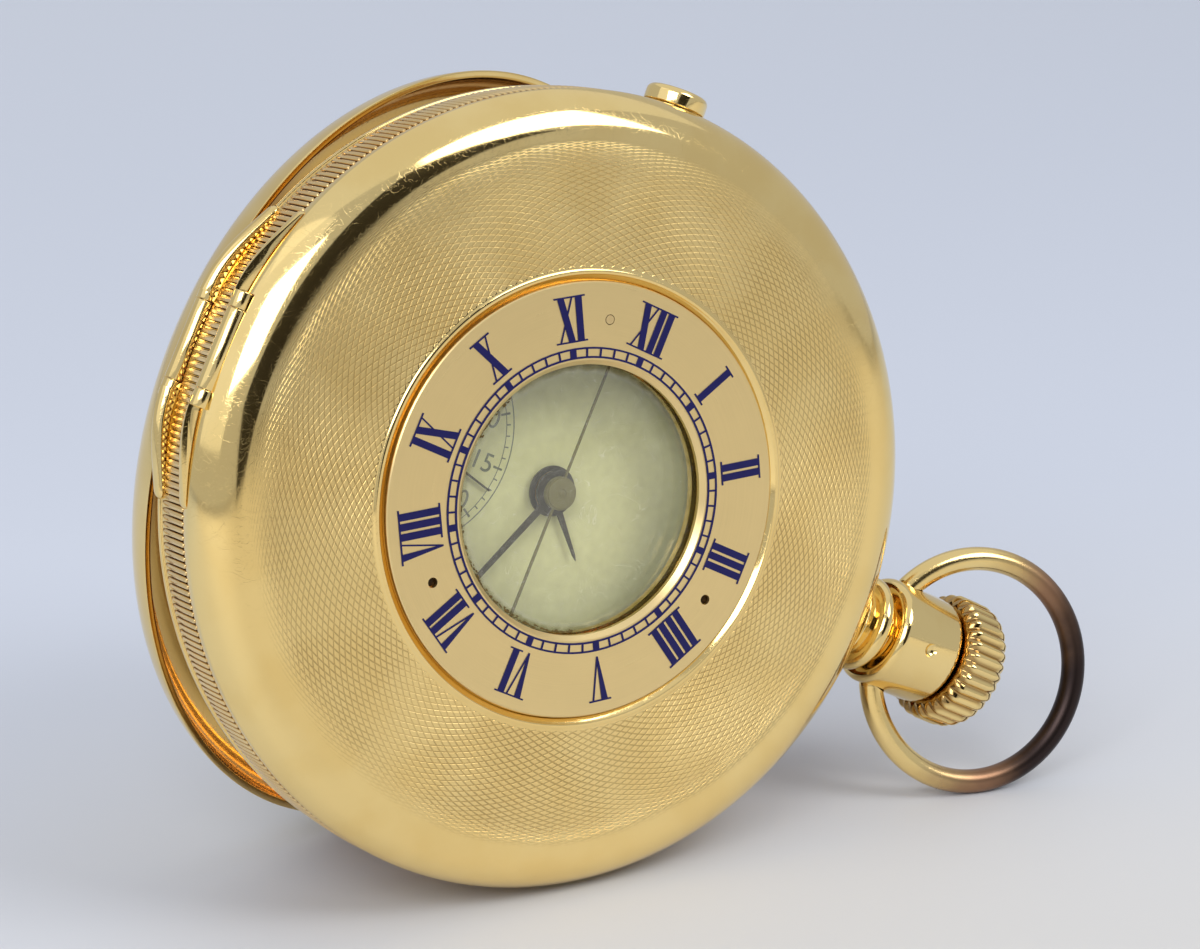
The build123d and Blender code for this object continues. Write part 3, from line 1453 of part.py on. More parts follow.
with BuildPart() as hairspring:
    spring_plane = level(hairspring_front, *balance_place)
    coil_start = collet_radius - hairspring_wall
    coils = spiral(spring_plane, coil_start, hairspring_pitch, hairspring_wall, hairspring_turns)
    extrude(coils, amount=-hairspring_height)
    extrude(disc(spring_plane, collet_radius, arbor_radius + shaft_gap / 2), amount=-hairspring_height)
export(hairspring, "hairspring")

balance_reach = math.hypot(*balance_place)
cock_heading = heading(centre, balance_place)
with BuildPart() as balance_cock:
    with BuildSketch(turned_to(cock_heading, top_plate_back)):
        with BuildLine():
            Polyline(
                (balance_reach, -cock_table),
                (cock_foot_inner, -cock_table),
                (cock_foot_inner, -cock_foot_half),
                (top_plate_radius + overrun, -cock_foot_half),
                (top_plate_radius + overrun, cock_foot_half),
                (cock_foot_inner, cock_foot_half),
                (cock_foot_inner, cock_table),
                (balance_reach, cock_table),
                close=True,
            )
        make_face()
        with Locations((balance_reach, 0)):
            Circle(cock_table)
        Circle(top_plate_radius - 4 * wheel_gap, mode=Mode.INTERSECT)
    extrude(amount=cock_back - top_plate_back)
    cock_hole = disc(level(top_plate_back, *balance_place), pivot_bore)
    extrude(cock_hole, amount=cock_back - top_plate_back, mode=Mode.SUBTRACT)
export(balance_cock, "balance_cock")

with BuildPart() as regulator:
    with BuildSketch(turned_to(cock_heading, cock_back)):
        with Locations((balance_reach, 0)):
            Circle(regulator_radius)
            Rectangle(regulator_length, regulator_width, align=(Align.MIN, Align.CENTER))
        with Locations((balance_reach, 0)):
            Circle(regulator_bore, mode=Mode.SUBTRACT)
    extrude(amount=-wheel_thickness)
export(regulator, "regulator")

# Bridge over the centre seconds work
far_foot = third_distance + sweep_teeth * sweep_module / 2 + bridge_foot_stand
with BuildPart() as sweep_bridge:
    bridge_frame = turned_to(towards_third, sweep_bridge_front)
    with BuildSketch(bridge_frame):
        with Locations(((far_foot - bridge_near_foot) / 2, 0)):
            SlotCenterToCenter(far_foot + bridge_near_foot, bridge_width)
    extrude(amount=-bridge_thickness)
    with BuildSketch(bridge_frame):
        with Locations((far_foot, 0), (-bridge_near_foot, 0)):
            Circle(bridge_width / 2 - wheel_gap)
    extrude(amount=top_plate_back - sweep_bridge_front)
    with BuildSketch(bridge_frame):
        with Locations((0, 0), (third_distance, 0)):
            Circle(pivot_bore)
    extrude(amount=-bridge_thickness, mode=Mode.SUBTRACT)
export(sweep_bridge, "sweep_bridge")

# Barrel with its mainspring
barrel_radius = barrel_teeth * barrel_module / 2 - 2.5 * barrel_module
barrel_axis = spindle(*barrel_place)
with BuildPart() as barrel_drum:
    flange = toothed(
        level(barrel_front, *barrel_place),
        barrel_teeth,
        barrel_module,
        heading(barrel_place, centre),
        wheel_tooth_shares,
        barrel_arbor_radius / 2,
    )
    extrude(flange, amount=-barrel_flange)
    extrude(disc(level(barrel_front, *barrel_place), barrel_radius), amount=barrel_back - barrel_front)
    drum_hollow = disc(level(barrel_back, *barrel_place), barrel_radius - barrel_wall)
    extrude(drum_hollow, amount=barrel_front - barrel_back - barrel_flange, mode=Mode.SUBTRACT)
    arbor_hole = disc(level(barrel_front, *barrel_place), pillar_radius + shaft_gap)
    extrude(arbor_hole, amount=-barrel_flange, mode=Mode.SUBTRACT)
export(barrel_drum, "barrel")

with BuildPart() as barrel_cover:
    lid_radius = barrel_radius - barrel_wall - shaft_gap / 2
    lid = disc(level(barrel_back, *barrel_place), lid_radius, pillar_radius + shaft_gap)
    extrude(lid, amount=barrel_cover_thickness)
export(barrel_cover, "barrel_cover")

spring_front = barrel_front - barrel_flange - wheel_gap
spring_back = barrel_back + barrel_cover_thickness + wheel_gap
with BuildPart() as mainspring:
    inner_coil = barrel_arbor_radius + shaft_gap
    spring_plane = level(spring_front, *barrel_place)
    coils = spiral(spring_plane, inner_coil, mainspring_pitch, mainspring_wall, mainspring_turns)
    extrude(coils, amount=spring_back - spring_front)
export(mainspring, "mainspring")

with BuildPart() as barrel_arbor:
    arbor_corners = (
        (0, plate_back + plate_thickness / 2 - seat_gap),
        (pillar_radius, plate_back + plate_thickness / 2 - seat_gap),
        (pillar_radius, spring_front),
        (barrel_arbor_radius, spring_front),
        (barrel_arbor_radius, spring_back),
        (pillar_radius, spring_back),
        (pillar_radius, top_plate_back + seat_gap),
        (0, top_plate_back + seat_gap),
    )
    revolve(steps(*barrel_place, arbor_corners), axis=barrel_axis)
export(barrel_arbor, "barrel_arbor")

# Winding wheels
with BuildPart() as ratchet_wheel:
    to_crown = heading(barrel_place, crown_wheel_place)
    ratchet_teeth_sketch = toothed(
        level(crown_wheel_front, *barrel_place),
        ratchet_teeth,
        ratchet_module,
        to_crown + 180 / ratchet_teeth,
        wheel_tooth_shares,
        pillar_radius + shaft_gap / 2,
    )
    extrude(ratchet_teeth_sketch, amount=-winding_wheel_thickness)
export(ratchet_wheel, "ratchet_wheel")

with BuildPart() as crown_wheel:
    crown_wheel_level = level(crown_wheel_front, *crown_wheel_place)
    crown_teeth = toothed(
        crown_wheel_level,
        crown_wheel_teeth,
        ratchet_module,
        heading(crown_wheel_place, barrel_place),
        wheel_tooth_shares,
        plate_screw_radius / 2 + shaft_gap,
    )
    extrude(crown_teeth, amount=-winding_wheel_thickness)
    head_room = disc(level(crown_wheel_back, *crown_wheel_place), plate_screw_radius + shaft_gap)
    extrude(head_room, amount=crown_screw_head, mode=Mode.SUBTRACT)
    with BuildSketch(crown_wheel_level):
        with PolarLocations(crown_wheel_teeth * winding_module / 2, crown_wheel_teeth):
            Rectangle(face_tooth_length, face_tooth_width)
    extrude(amount=face_tooth_height)
export(crown_wheel, "crown_wheel")

crown_screw_seat = crown_wheel_back + crown_screw_head - shaft_gap / 4
crown_screw_shank = crown_wheel_front - crown_screw_seat + winding_wheel_thickness
group([screw(crown_wheel_place, crown_screw_seat, crown_screw_head, crown_screw_shank)], "crown_wheel_screw")

with BuildPart() as click:
    click_frame = turned_to(click_heading + 90)
    click_origin = level(crown_wheel_front, *click_place).origin
    with BuildSketch(Plane(origin=click_origin, x_dir=click_frame.x_dir, z_dir=watch.z_dir)):
        with BuildLine():
            Polyline(
                (0, -click_arm),
                (click_length - click_arm, -click_arm),
                (click_length, click_arm),
                (click_length - click_arm, 2 * click_arm),
                (0, click_arm),
                close=True,
            )
        make_face()
        Circle(click_hub_radius)
        Circle(click_stud_radius + shaft_gap, mode=Mode.SUBTRACT)
    extrude(amount=-winding_wheel_thickness)
export(click, "click")

# Motion work behind the dial
cannon_module = 2 * motion_distance / (cannon_leaves + minute_wheel_teeth)
hour_module = 2 * motion_distance / (minute_leaves + hour_wheel_teeth)
minute_wheel_front = motion_floor + wheel_gap + wheel_thickness + wheel_gap
hour_wheel_front = plate_front - wheel_gap
minute_hand_level = dial_face + 7 * hand_thickness
hour_hand_level = dial_face + 3 * hand_thickness
seconds_hand_level = dial_face + glass_clearance - 7 * wheel_gap
with BuildPart() as cannon_pinion:
    tube_length = minute_hand_level + 2 * hand_thickness - (motion_floor + wheel_gap)
    tube = disc(level(motion_floor + wheel_gap), cannon_tube_radius, centre_tube_radius + shaft_gap / 2)
    extrude(tube, amount=tube_length)
    cannon = toothed(
        level(motion_floor + wheel_gap / 2),
        cannon_leaves,
        cannon_module,
        motion_heading,
        leaf_tooth_shares,
        centre_tube_radius + shaft_gap / 2,
    )
    extrude(cannon, amount=wheel_thickness + 2 * wheel_gap)
export(cannon_pinion, "cannon_pinion")

with BuildPart() as minute_wheel:
    minute_teeth = toothed(
        level(minute_wheel_front, *minute_wheel_place),
        minute_wheel_teeth,
        cannon_module,
        motion_heading + 180 + 180 / minute_wheel_teeth,
        wheel_tooth_shares,
        arbor_radius,
    )
    extrude(minute_teeth, amount=-wheel_thickness)
    minute_pinion = toothed(
        level(minute_wheel_front, *minute_wheel_place),
        minute_leaves,
        hour_module,
        motion_heading + 180,
        leaf_tooth_shares,
        arbor_radius,
    )
    extrude(minute_pinion, amount=hour_wheel_front - minute_wheel_front)
export(minute_wheel, "minute_wheel")

with BuildPart() as hour_wheel:
    hour_teeth = toothed(
        level(hour_wheel_front, 0, 0),
        hour_wheel_teeth,
        hour_module,
        motion_heading + 180 / hour_wheel_teeth,
        wheel_tooth_shares,
        cannon_tube_radius + shaft_gap,
    )
    extrude(hour_teeth, amount=-wheel_thickness)
    hour_tube = disc(level(hour_wheel_front), hour_tube_radius, cannon_tube_radius + shaft_gap)
    extrude(hour_tube, amount=hour_hand_level + hand_thickness - hour_wheel_front)
export(hour_wheel, "hour_wheel")


# Hands
def hand(height, degrees, boss, bore, outline_points, place=(0, 0)):
    """Hand outline that points clockwise from XII by an angle, with its boss and bore."""
    frame = turned_to(90 - degrees)
    plane = Plane(origin=level(height, *place).origin, x_dir=frame.x_dir, z_dir=watch.z_dir)
    with BuildSketch(plane) as drawn:
        with BuildLine():
            Polyline(*outline_points, close=True)
        make_face()
        Circle(boss)
        if bore > 0:
            Circle(bore, mode=Mode.SUBTRACT)
    return drawn.sketch


def scaled(shares, length):
    """Corners of a hand from their shares of its length."""
    return [(x * length, y * length) for x, y in shares]


hand_fit = shaft_gap / 2
with BuildPart() as hour_hand:
    hour_points = scaled(hour_hand_shares, hour_hand_length)
    hour_sketch = hand(hour_hand_level, hour_hand_angle, hour_boss, hour_tube_radius + hand_fit, hour_points)
    extrude(hour_sketch, amount=hand_thickness)
export(hour_hand, "hour_hand")

with BuildPart() as minute_hand:
    minute_points = scaled(minute_hand_shares, minute_hand_length)
    minute_bore = cannon_tube_radius + hand_fit
    minute_sketch = hand(minute_hand_level, minute_hand_angle, minute_boss, minute_bore, minute_points)
    extrude(minute_sketch, amount=hand_thickness)
export(minute_hand, "minute_hand")

with BuildPart() as centre_seconds_hand:
    seconds_points = scaled(seconds_hand_shares, seconds_hand_length)
    seconds_bore = sweep_arbor_radius + hand_fit
    seconds_sketch = hand(seconds_hand_level, seconds_hand_angle, seconds_boss, seconds_bore, seconds_points)
    extrude(seconds_sketch, amount=hand_thickness)
    extrude(disc(level(seconds_hand_level), seconds_boss, seconds_bore), amount=seconds_boss_height)
export(centre_seconds_hand, "centre_seconds_hand")

with BuildPart() as small_seconds_hand:
    small_points = scaled(small_hand_shares, small_seconds_length)
    small_bore = arbor_radius / 2 + hand_fit
    small_sketch = hand(
        small_hand_level, small_seconds_angle, small_boss, small_bore, small_points, fourth_place
    )
    extrude(small_sketch, amount=hand_thickness)
export(small_seconds_hand, "small_seconds_hand")


# Case springs in the groove of the case middle
def arc_spring(first, last):
    """Curved flat spring in the groove between two angles."""
    outer = spring_groove_radius - seat_gap
    inner = outer - case_spring_width
    middle = (first + last) / 2
    with BuildPart() as spring:
        with BuildSketch(level(groove_back + wheel_gap)):
            with BuildLine():
                ThreePointArc(polar(outer, first), polar(outer, middle), polar(outer, last))
                Line(polar(outer, last), polar(inner, last))
                ThreePointArc(polar(inner, last), polar(inner, middle), polar(inner, first))
                Line(polar(inner, first), polar(outer, first))
            make_face()
        extrude(amount=spring_groove_height - 2 * wheel_gap)
    return spring


export(arc_spring(*lock_spring_arc), "lock_spring")
export(arc_spring(*lift_spring_arc), "lift_spring")

# Spring of the push-piece, round its stem between the tube and the head
with BuildPart() as push_spring:
    spring_length = push_stand + push_recess - 2 * push_spring_wire - 2 * shaft_gap
    spring_start = push_seat.offset(push_floor + push_spring_wire + shaft_gap)
    coil_radius = push_stem_radius + shaft_gap + push_spring_wire
    with BuildLine() as coil:
        Helix(
            spring_length / push_spring_turns,
            spring_length,
            coil_radius,
            center=spring_start.origin,
            direction=spring_start.z_dir,
        )
    wire = coil.line
    with BuildSketch(Plane(origin=wire @ 0, z_dir=wire % 0)) as wire_end:
        Circle(push_spring_wire)
    sweep(wire_end.sketch, path=wire, is_frenet=True)
export(push_spring, "push_spring")
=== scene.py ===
# Dressing of the half hunter pocket watch: its turned and engraved gold case, its glass, dial and works.
# Shapes and patterns are drawn in millimetres of the watch's own frame, where x runs to the pendant
# at III, y to XII, and z out through the dial, and are then put in their place in metres.
import json
import math
import random

import bmesh
import bpy
from mathutils import Matrix, Vector


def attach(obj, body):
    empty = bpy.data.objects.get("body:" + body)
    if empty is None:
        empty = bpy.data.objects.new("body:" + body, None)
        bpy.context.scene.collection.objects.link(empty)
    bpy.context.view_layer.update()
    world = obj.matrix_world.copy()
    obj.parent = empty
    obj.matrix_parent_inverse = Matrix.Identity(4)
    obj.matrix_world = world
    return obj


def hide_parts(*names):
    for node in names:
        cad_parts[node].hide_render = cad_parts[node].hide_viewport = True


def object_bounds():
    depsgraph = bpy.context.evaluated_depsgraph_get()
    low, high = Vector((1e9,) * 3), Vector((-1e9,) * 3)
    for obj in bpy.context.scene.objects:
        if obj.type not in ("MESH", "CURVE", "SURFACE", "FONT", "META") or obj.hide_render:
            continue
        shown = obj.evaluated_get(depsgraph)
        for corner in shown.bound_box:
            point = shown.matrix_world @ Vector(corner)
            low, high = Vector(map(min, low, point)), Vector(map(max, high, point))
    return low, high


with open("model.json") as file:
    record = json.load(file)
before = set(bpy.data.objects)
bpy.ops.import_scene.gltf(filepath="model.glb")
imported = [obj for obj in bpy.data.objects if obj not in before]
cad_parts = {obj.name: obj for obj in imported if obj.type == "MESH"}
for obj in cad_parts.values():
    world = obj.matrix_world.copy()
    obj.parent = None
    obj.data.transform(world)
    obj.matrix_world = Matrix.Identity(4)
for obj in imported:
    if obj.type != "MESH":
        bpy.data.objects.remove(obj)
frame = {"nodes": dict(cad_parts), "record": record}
cad_low, cad_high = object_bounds()
nodes = frame["nodes"]

# Stance of the watch, as the case stands
roll = math.radians(27.83)
lean = math.radians(5.3)
case_radius = 25.0
band_height = 3.5
millimetre = 0.001

across = Vector((1, 0, 0))
upward = Vector((0, math.sin(lean), math.cos(lean)))
outward = Vector((0, -math.cos(lean), math.sin(lean)))
to_three = across * math.cos(roll) - upward * math.sin(roll)
to_twelve = outward.cross(to_three)
case_height = case_radius * math.cos(lean) + band_height * math.sin(lean)
turned = Matrix((to_three, to_twelve, outward)).transposed().to_4x4()
watch = Matrix.Translation(Vector((-7.32, -10.07, case_height)) * millimetre) @ turned


def swung(x, z, degrees):
    """The watch's frame turned about a line that runs along y through x and z."""
    line = Matrix.Translation(Vector((x, 0, z)) * millimetre)
    return watch @ line @ Matrix.Rotation(math.radians(degrees), 4, "Y") @ line.inverted()


# Sizes of the case
front_seam = 0.7
back_seam = -3.9
strip_radius = 24.9
reed_floor = 24.78
reed_count = 370
knuckle_radius = 0.62
knuckle_relief = 0.06
middle_knuckle_end = 2.5
side_knuckle_end = 3.6
hinge_x = -24.9
pendant_z = -2.1
bow_x = 29.7
bow_radius = 7.6
bow_wire = 0.8
bow_half_gap = 3.5
stem_bore = 1.15
push_z = -1.6
push_hour_angle = 93
push_radius = 2.0
push_seat_radius = 2.1
push_stem_radius = 0.55

# Sizes of the covers
front_apex = 4.018
front_crown = 213.6
front_bend = (21.993, -0.3345)
front_bend_radius = 3.2
front_bend_top = 84
front_wall = 0.6
cover_foot = 0.76
ring_edge = 13.6
ring_floor = 3.168
window_radius = 8.4
glass_radius = 9.25
glass_lip = 0.12
dial_glass_radius = 20.6
boss_edge = 14.4
boss_floor = 2.418
back_apex = -8.71
back_crown = 294.1
back_foot = -3.96
back_bend_radius = 4.9
back_bend_start = 10
back_bend_end = 86
back_wall = 0.45
back_start = math.radians(back_bend_start)
back_bend = (
    case_radius - back_bend_radius * math.cos(back_start),
    back_foot + back_bend_radius * math.sin(back_start),
)

opened_back = swung(hinge_x, back_seam, 23)
hanging_bow = swung(bow_x, pendant_z, -11)


# Finishes
class Finish:
    """A surface finish in the making, patterned in millimetres of a frame of the watch."""

    def __init__(self, name, placing, colour, metal, gloss_loss):
        self.material = bpy.data.materials.new(name)
        self.material.use_nodes = True
        self.tree = self.material.node_tree
        self.shader = self.tree.nodes["Principled BSDF"]
        self.shader.inputs["Base Color"].default_value = (*colour, 1)
        self.shader.inputs["Metallic"].default_value = metal
        self.shader.inputs["Roughness"].default_value = gloss_loss
        place = self.add("ShaderNodeTexCoord")
        mapping = self.add("ShaderNodeMapping", vector_type="TEXTURE")
        mapping.inputs["Location"].default_value = placing.translation
        mapping.inputs["Rotation"].default_value = placing.to_euler()
        mapping.inputs["Scale"].default_value = (millimetre,) * 3
        self.tree.links.new(place.outputs["Object"], mapping.inputs["Vector"])
        self.place = mapping.outputs["Vector"]
        self.height = None

    def add(self, kind, **settings):
        """One node with its settings."""
        made = self.tree.nodes.new(kind)
        for key, value in settings.items():
            setattr(made, key, value)
        return made

    def feed(self, socket, value):
        """A link or a plain value into a socket."""
        if isinstance(value, bpy.types.NodeSocket):
            self.tree.links.new(value, socket)
        else:
            socket.default_value = value

    def sum(self, operation, *values):
        """Result of a Math node."""
        made = self.add("ShaderNodeMath", operation=operation)
        for socket, value in zip(made.inputs, values):
            self.feed(socket, value)
        return made.outputs[0]

    def step(self, value, low, high):
        """Smooth rise from 0 to 1 as a value goes from low to high."""
        made = self.add("ShaderNodeMapRange", interpolation_type="SMOOTHSTEP")
        self.feed(made.inputs["Value"], value)
        self.feed(made.inputs["From Min"], low)
        self.feed(made.inputs["From Max"], high)
        return made.outputs["Result"]

    def noise(self, scale, detail=3.0, place=None, distortion=0.0):
        """Cloudy value with so many clouds in a millimetre."""
        made = self.add("ShaderNodeTexNoise")
        self.feed(made.inputs["Vector"], place or self.place)
        made.inputs["Scale"].default_value = scale
        made.inputs["Detail"].default_value = detail
        made.inputs["Distortion"].default_value = distortion
        return made.outputs["Fac"]

    def parts(self):
        """Distance across, upwards and outwards in the watch's frame."""
        made = self.add("ShaderNodeSeparateXYZ")
        self.feed(made.inputs[0], self.place)
        return made.outputs

    def reach(self, across_it, along_it):
        """Distance that two sides of a right angle give."""
        squares = self.sum("MULTIPLY", across_it, across_it)
        return self.sum("SQRT", self.sum("MULTIPLY_ADD", along_it, along_it, squares))

    def away(self, value):
        """What a share leaves of the whole."""
        return self.sum("SUBTRACT", 1.0, value)

    def polar(self):
        """Radius and angle about the dial's axis."""
        parts = self.parts()
        return self.reach(parts[0], parts[1]), self.sum("ARCTAN2", parts[1], parts[0])

    def joined(self, x, y, z):
        """A place made of three values."""
        made = self.add("ShaderNodeCombineXYZ")
        for socket, value in zip(made.inputs, (x, y, z)):
            self.feed(socket, value)
        return made.outputs[0]

    def blended(self, share, first, second):
        """Colour between two others."""
        made = self.add("ShaderNodeMix", data_type="RGBA")
        self.feed(made.inputs["Factor"], share)
        for socket, value in ((made.inputs[6], first), (made.inputs[7], second)):
            self.feed(socket, value if isinstance(value, bpy.types.NodeSocket) else (*value, 1))
        return made.outputs[2]

    def paint(self, colour):
        """Colour of the surface."""
        self.feed(self.shader.inputs["Base Color"], colour)
        return self

    def dull(self, share, low, high):
        """Roughness between two values."""
        made = self.add("ShaderNodeMapRange")
        self.feed(made.inputs["Value"], share)
        made.inputs["To Min"].default_value = low
        made.inputs["To Max"].default_value = high
        self.feed(self.shader.inputs["Roughness"], made.outputs["Result"])
        return self

    def emboss(self, height, depth, share=1.0):
        """Relief of a depth in millimetres, laid over what is there."""
        made = self.add("ShaderNodeBump")
        made.inputs["Strength"].default_value = share
        made.inputs["Distance"].default_value = depth * millimetre
        self.feed(made.inputs["Height"], height)
        if self.height is not None:
            self.feed(made.inputs["Normal"], self.height)
        self.height = made.outputs["Normal"]
        self.feed(self.shader.inputs["Normal"], self.height)
        return self

    def scratches(self, scale, width):
        """Fine curled hairlines of wear."""
        cloud = self.noise(scale, 2.0, distortion=0.6)
        beside = self.sum("ABSOLUTE", self.sum("SUBTRACT", cloud, 0.5))
        return self.away(self.step(beside, 0.0, width))


yellow_gold = (0.95, 0.72, 0.31)
pale_gold = (0.90, 0.69, 0.33)
deep_gold = (0.72, 0.43, 0.13)


def polished_gold(name, placing, colour=yellow_gold, second=(0.91, 0.67, 0.27), gloss_loss=0.06):
    """Polished gold with the wear of a pocket on it."""
    finish = Finish(name, placing, colour, 1.0, gloss_loss)
    cloud = finish.noise(0.22, 4.0)
    finish.paint(finish.blended(finish.step(cloud, 0.35, 0.65), colour, second))
    wear = finish.scratches(0.7, 0.006)
    fine = finish.scratches(1.9, 0.01)
    both = finish.sum("MAXIMUM", wear, finish.sum("MULTIPLY", fine, 0.6))
    dulled = finish.sum("MULTIPLY_ADD", cloud, 0.4, finish.sum("MULTIPLY", both, 0.5))
    finish.dull(dulled, gloss_loss, gloss_loss + 0.12)
    finish.emboss(both, -0.004, 0.25)
    finish.emboss(finish.noise(0.16, 2.0), 0.25, 0.025)
    return finish


def shoulder_skin(finish, parts, radius, side):
    """1 on the outer face of a cover's rounded shoulder, 0 on its inner face."""
    centre, bend = (front_bend, front_bend_radius) if side > 0 else (back_bend, back_bend_radius)
    across_bend = finish.sum("SUBTRACT", radius, centre[0])
    above_bend = finish.sum("SUBTRACT", parts[2], centre[1])
    from_bend = finish.reach(across_bend, above_bend)
    beyond = finish.step(radius, centre[0] - 0.6, centre[0])
    return finish.sum("MULTIPLY", finish.step(from_bend, bend - 0.3, bend - 0.2), beyond)


def engine_turned(name, placing, side, apex, crown, inner_edge, outer_edge, ring, throw, count):
    """Gold engraved with the crossing circles of a rose engine, left plain in the middle and at the rim.
    Painted shade darkens the cut lines, the inner face carries a painted orange glow, and near the hinge
    painted shade turns it almost black.
    """
    finish = polished_gold(name, placing)
    radius, angle = finish.polar()
    top = finish.sum("ADD", finish.sum("MULTIPLY", radius, radius), throw ** 2 - ring ** 2)
    cosine = finish.sum("DIVIDE", top, finish.sum("MULTIPLY", radius, 2 * throw))
    bent = finish.sum("ARCCOSINE", finish.sum("MINIMUM", finish.sum("MAXIMUM", cosine, -1.0), 1.0))
    lines = []
    for hand in (1, -1):
        turned_angle = finish.sum("MULTIPLY_ADD", bent, hand, angle)
        wave = finish.sum("COSINE", finish.sum("MULTIPLY", turned_angle, count))
        lines.append(finish.step(wave, 0.6, 1.0))
    cuts = finish.sum("MAXIMUM", *lines)
    inside = finish.step(radius, inner_edge, inner_edge + 0.25)
    outside = finish.away(finish.step(radius, outer_edge - 2.2, outer_edge))
    parts = finish.parts()
    sunk = finish.sum("MULTIPLY", finish.sum("MULTIPLY", radius, radius), side / (2 * crown))
    skin = finish.sum("MULTIPLY", finish.sum("ADD", parts[2], sunk), side)
    over = finish.step(skin, side * apex - 0.35, side * apex - 0.25)
    field = finish.sum("MULTIPLY", finish.sum("MULTIPLY", inside, outside), over)
    cut_here = finish.sum("MULTIPLY", cuts, field)
    worn = finish.step(finish.noise(0.12, 3.0), 0.3, 0.7)
    depth = finish.sum("MULTIPLY", cut_here, finish.sum("MULTIPLY_ADD", worn, 0.5, 0.5))
    before = finish.shader.inputs["Base Color"].links[0].from_socket
    # Painted shade: the cut lines are darkened towards brown by their depth.
    engraved = finish.blended(finish.sum("MULTIPLY", depth, 0.6), before, (0.36, 0.20, 0.05))
    inner = finish.away(finish.step(skin, side * apex - 0.42, side * apex - 0.36))
    inner = finish.sum("MULTIPLY", inner, finish.away(finish.step(radius, 24.62, 24.7)))
    inner = finish.sum("MULTIPLY", inner, finish.away(shoulder_skin(finish, parts, radius, side)))
    # Painted glow: the inner face of the cover is painted a deeper orange gold than its outside.
    inner_face_painted_glow = finish.blended(inner, engraved, (0.72, 0.43, 0.10))
    # Painted shade: the inner face towards the hinge is painted almost black.
    hinge_wedge_painted_shade = finish.sum("MULTIPLY", inner, finish.away(finish.step(parts[0], -21.5, -16.0)))
    finish.paint(finish.blended(hinge_wedge_painted_shade, inner_face_painted_glow, (0.14, 0.02, 0.004)))
    rough = finish.shader.inputs["Roughness"].links[0].from_socket
    finish.feed(finish.shader.inputs["Roughness"], finish.sum("MULTIPLY_ADD", field, 0.22, rough))
    finish.emboss(depth, -0.05, 0.8)
    return finish


def satin_gold(name, placing, colour, depth):
    """Gold brushed in circles about the dial's axis."""
    finish = Finish(name, placing, colour, 1.0, 0.3)
    radius, angle = finish.polar()
    parts = finish.parts()
    grain_place = finish.joined(finish.sum("MULTIPLY", radius, 9.0), angle, parts[2])
    grain = finish.noise(1.6, 4.0, grain_place)
    cloud = finish.noise(0.35, 3.0)
    darker = tuple(share * 0.86 for share in colour)
    finish.paint(finish.blended(finish.sum("MULTIPLY", cloud, grain), colour, darker))
    finish.dull(grain, 0.22, 0.42)
    finish.emboss(grain, depth, 0.6)
    return finish


def plain_metal(name, placing, colour, gloss_loss, grain_scale, depth):
    """Metal with a fine grain, for the works."""
    finish = Finish(name, placing, colour, 1.0, gloss_loss)
    grain = finish.noise(grain_scale, 4.0)
    darker = tuple(share * 0.8 for share in colour)
    finish.paint(finish.blended(grain, colour, darker))
    finish.dull(grain, gloss_loss * 0.8, gloss_loss * 1.3)
    finish.emboss(grain, depth, 0.5)
    return finish


def hard_enamel(name, placing, colour, depth):
    """Glassy fired enamel, a little uneven."""
    finish = Finish(name, placing, colour, 0.0, 0.3)
    finish.shader.inputs["Specular IOR Level"].default_value = 0.3
    cloud = finish.noise(1.4, 3.0)
    lighter = tuple(min(share * 1.35 + 0.004, 1) for share in colour)
    finish.paint(finish.blended(cloud, colour, lighter))
    finish.emboss(cloud, depth, 0.4)
    return finish


def clear_glass(name, placing, edge_radius):
    """Thin clear glass: it shines at a slant, and grime hangs on its rim."""
    finish = Finish(name, placing, (0.97, 0.98, 0.95), 1.0, 0.03)
    radius = finish.polar()[0]
    by_edge = finish.step(radius, edge_radius - 0.9, edge_radius + 0.1)
    film = finish.sum("MULTIPLY", by_edge, finish.noise(1.1, 4.0))
    hairs = finish.sum("MULTIPLY", finish.scratches(0.5, 0.003), 0.25)
    dirt = finish.sum("MULTIPLY", film, 0.75)
    slant = finish.add("ShaderNodeLayerWeight").outputs["Facing"]
    shine = finish.sum("MULTIPLY_ADD", finish.sum("POWER", slant, 5.0), 0.965, 0.035)
    seen = finish.sum("MAXIMUM", shine, finish.sum("MAXIMUM", dirt, hairs))
    finish.feed(finish.shader.inputs["Alpha"], finish.sum("MINIMUM", seen, 1.0))
    dirty = finish.step(dirt, 0.02, 0.25)
    finish.paint(finish.blended(dirty, (0.97, 0.98, 0.95), (0.13, 0.10, 0.025)))
    finish.feed(finish.shader.inputs["Metallic"], finish.away(dirty))
    return finish


def ruby_red(name, placing):
    """Clear red jewel."""
    finish = Finish(name, placing, (0.62, 0.02, 0.05), 0.0, 0.06)
    finish.shader.inputs["Transmission Weight"].default_value = 0.5
    cloud = finish.noise(1.2)
    finish.paint(finish.blended(cloud, (0.62, 0.02, 0.05), (0.42, 0.01, 0.04)))
    return finish


def aged_metal(name, colour, second):
    """Metal gone dull under the glass."""
    finish = Finish(name, watch, colour, 0.5, 0.45)
    cloud = finish.noise(2.5, 3.0)
    finish.paint(finish.blended(cloud, colour, second))
    finish.dull(cloud, 0.35, 0.55)
    finish.emboss(cloud, 0.003, 0.4)
    return finish


def rivet_heads():
    """Gold of the rivets, painted near black on the two lower ones."""
    finish = polished_gold("rivet_gold", watch, pale_gold, (0.80, 0.60, 0.30), 0.25)
    before = finish.shader.inputs["Base Color"].links[0].from_socket
    # The rivets low on the ring are painted near black.
    black = finish.away(finish.step(finish.parts()[1], 3.0, 5.0))
    finish.paint(finish.blended(black, before, (0.035, 0.022, 0.012)))
    return finish


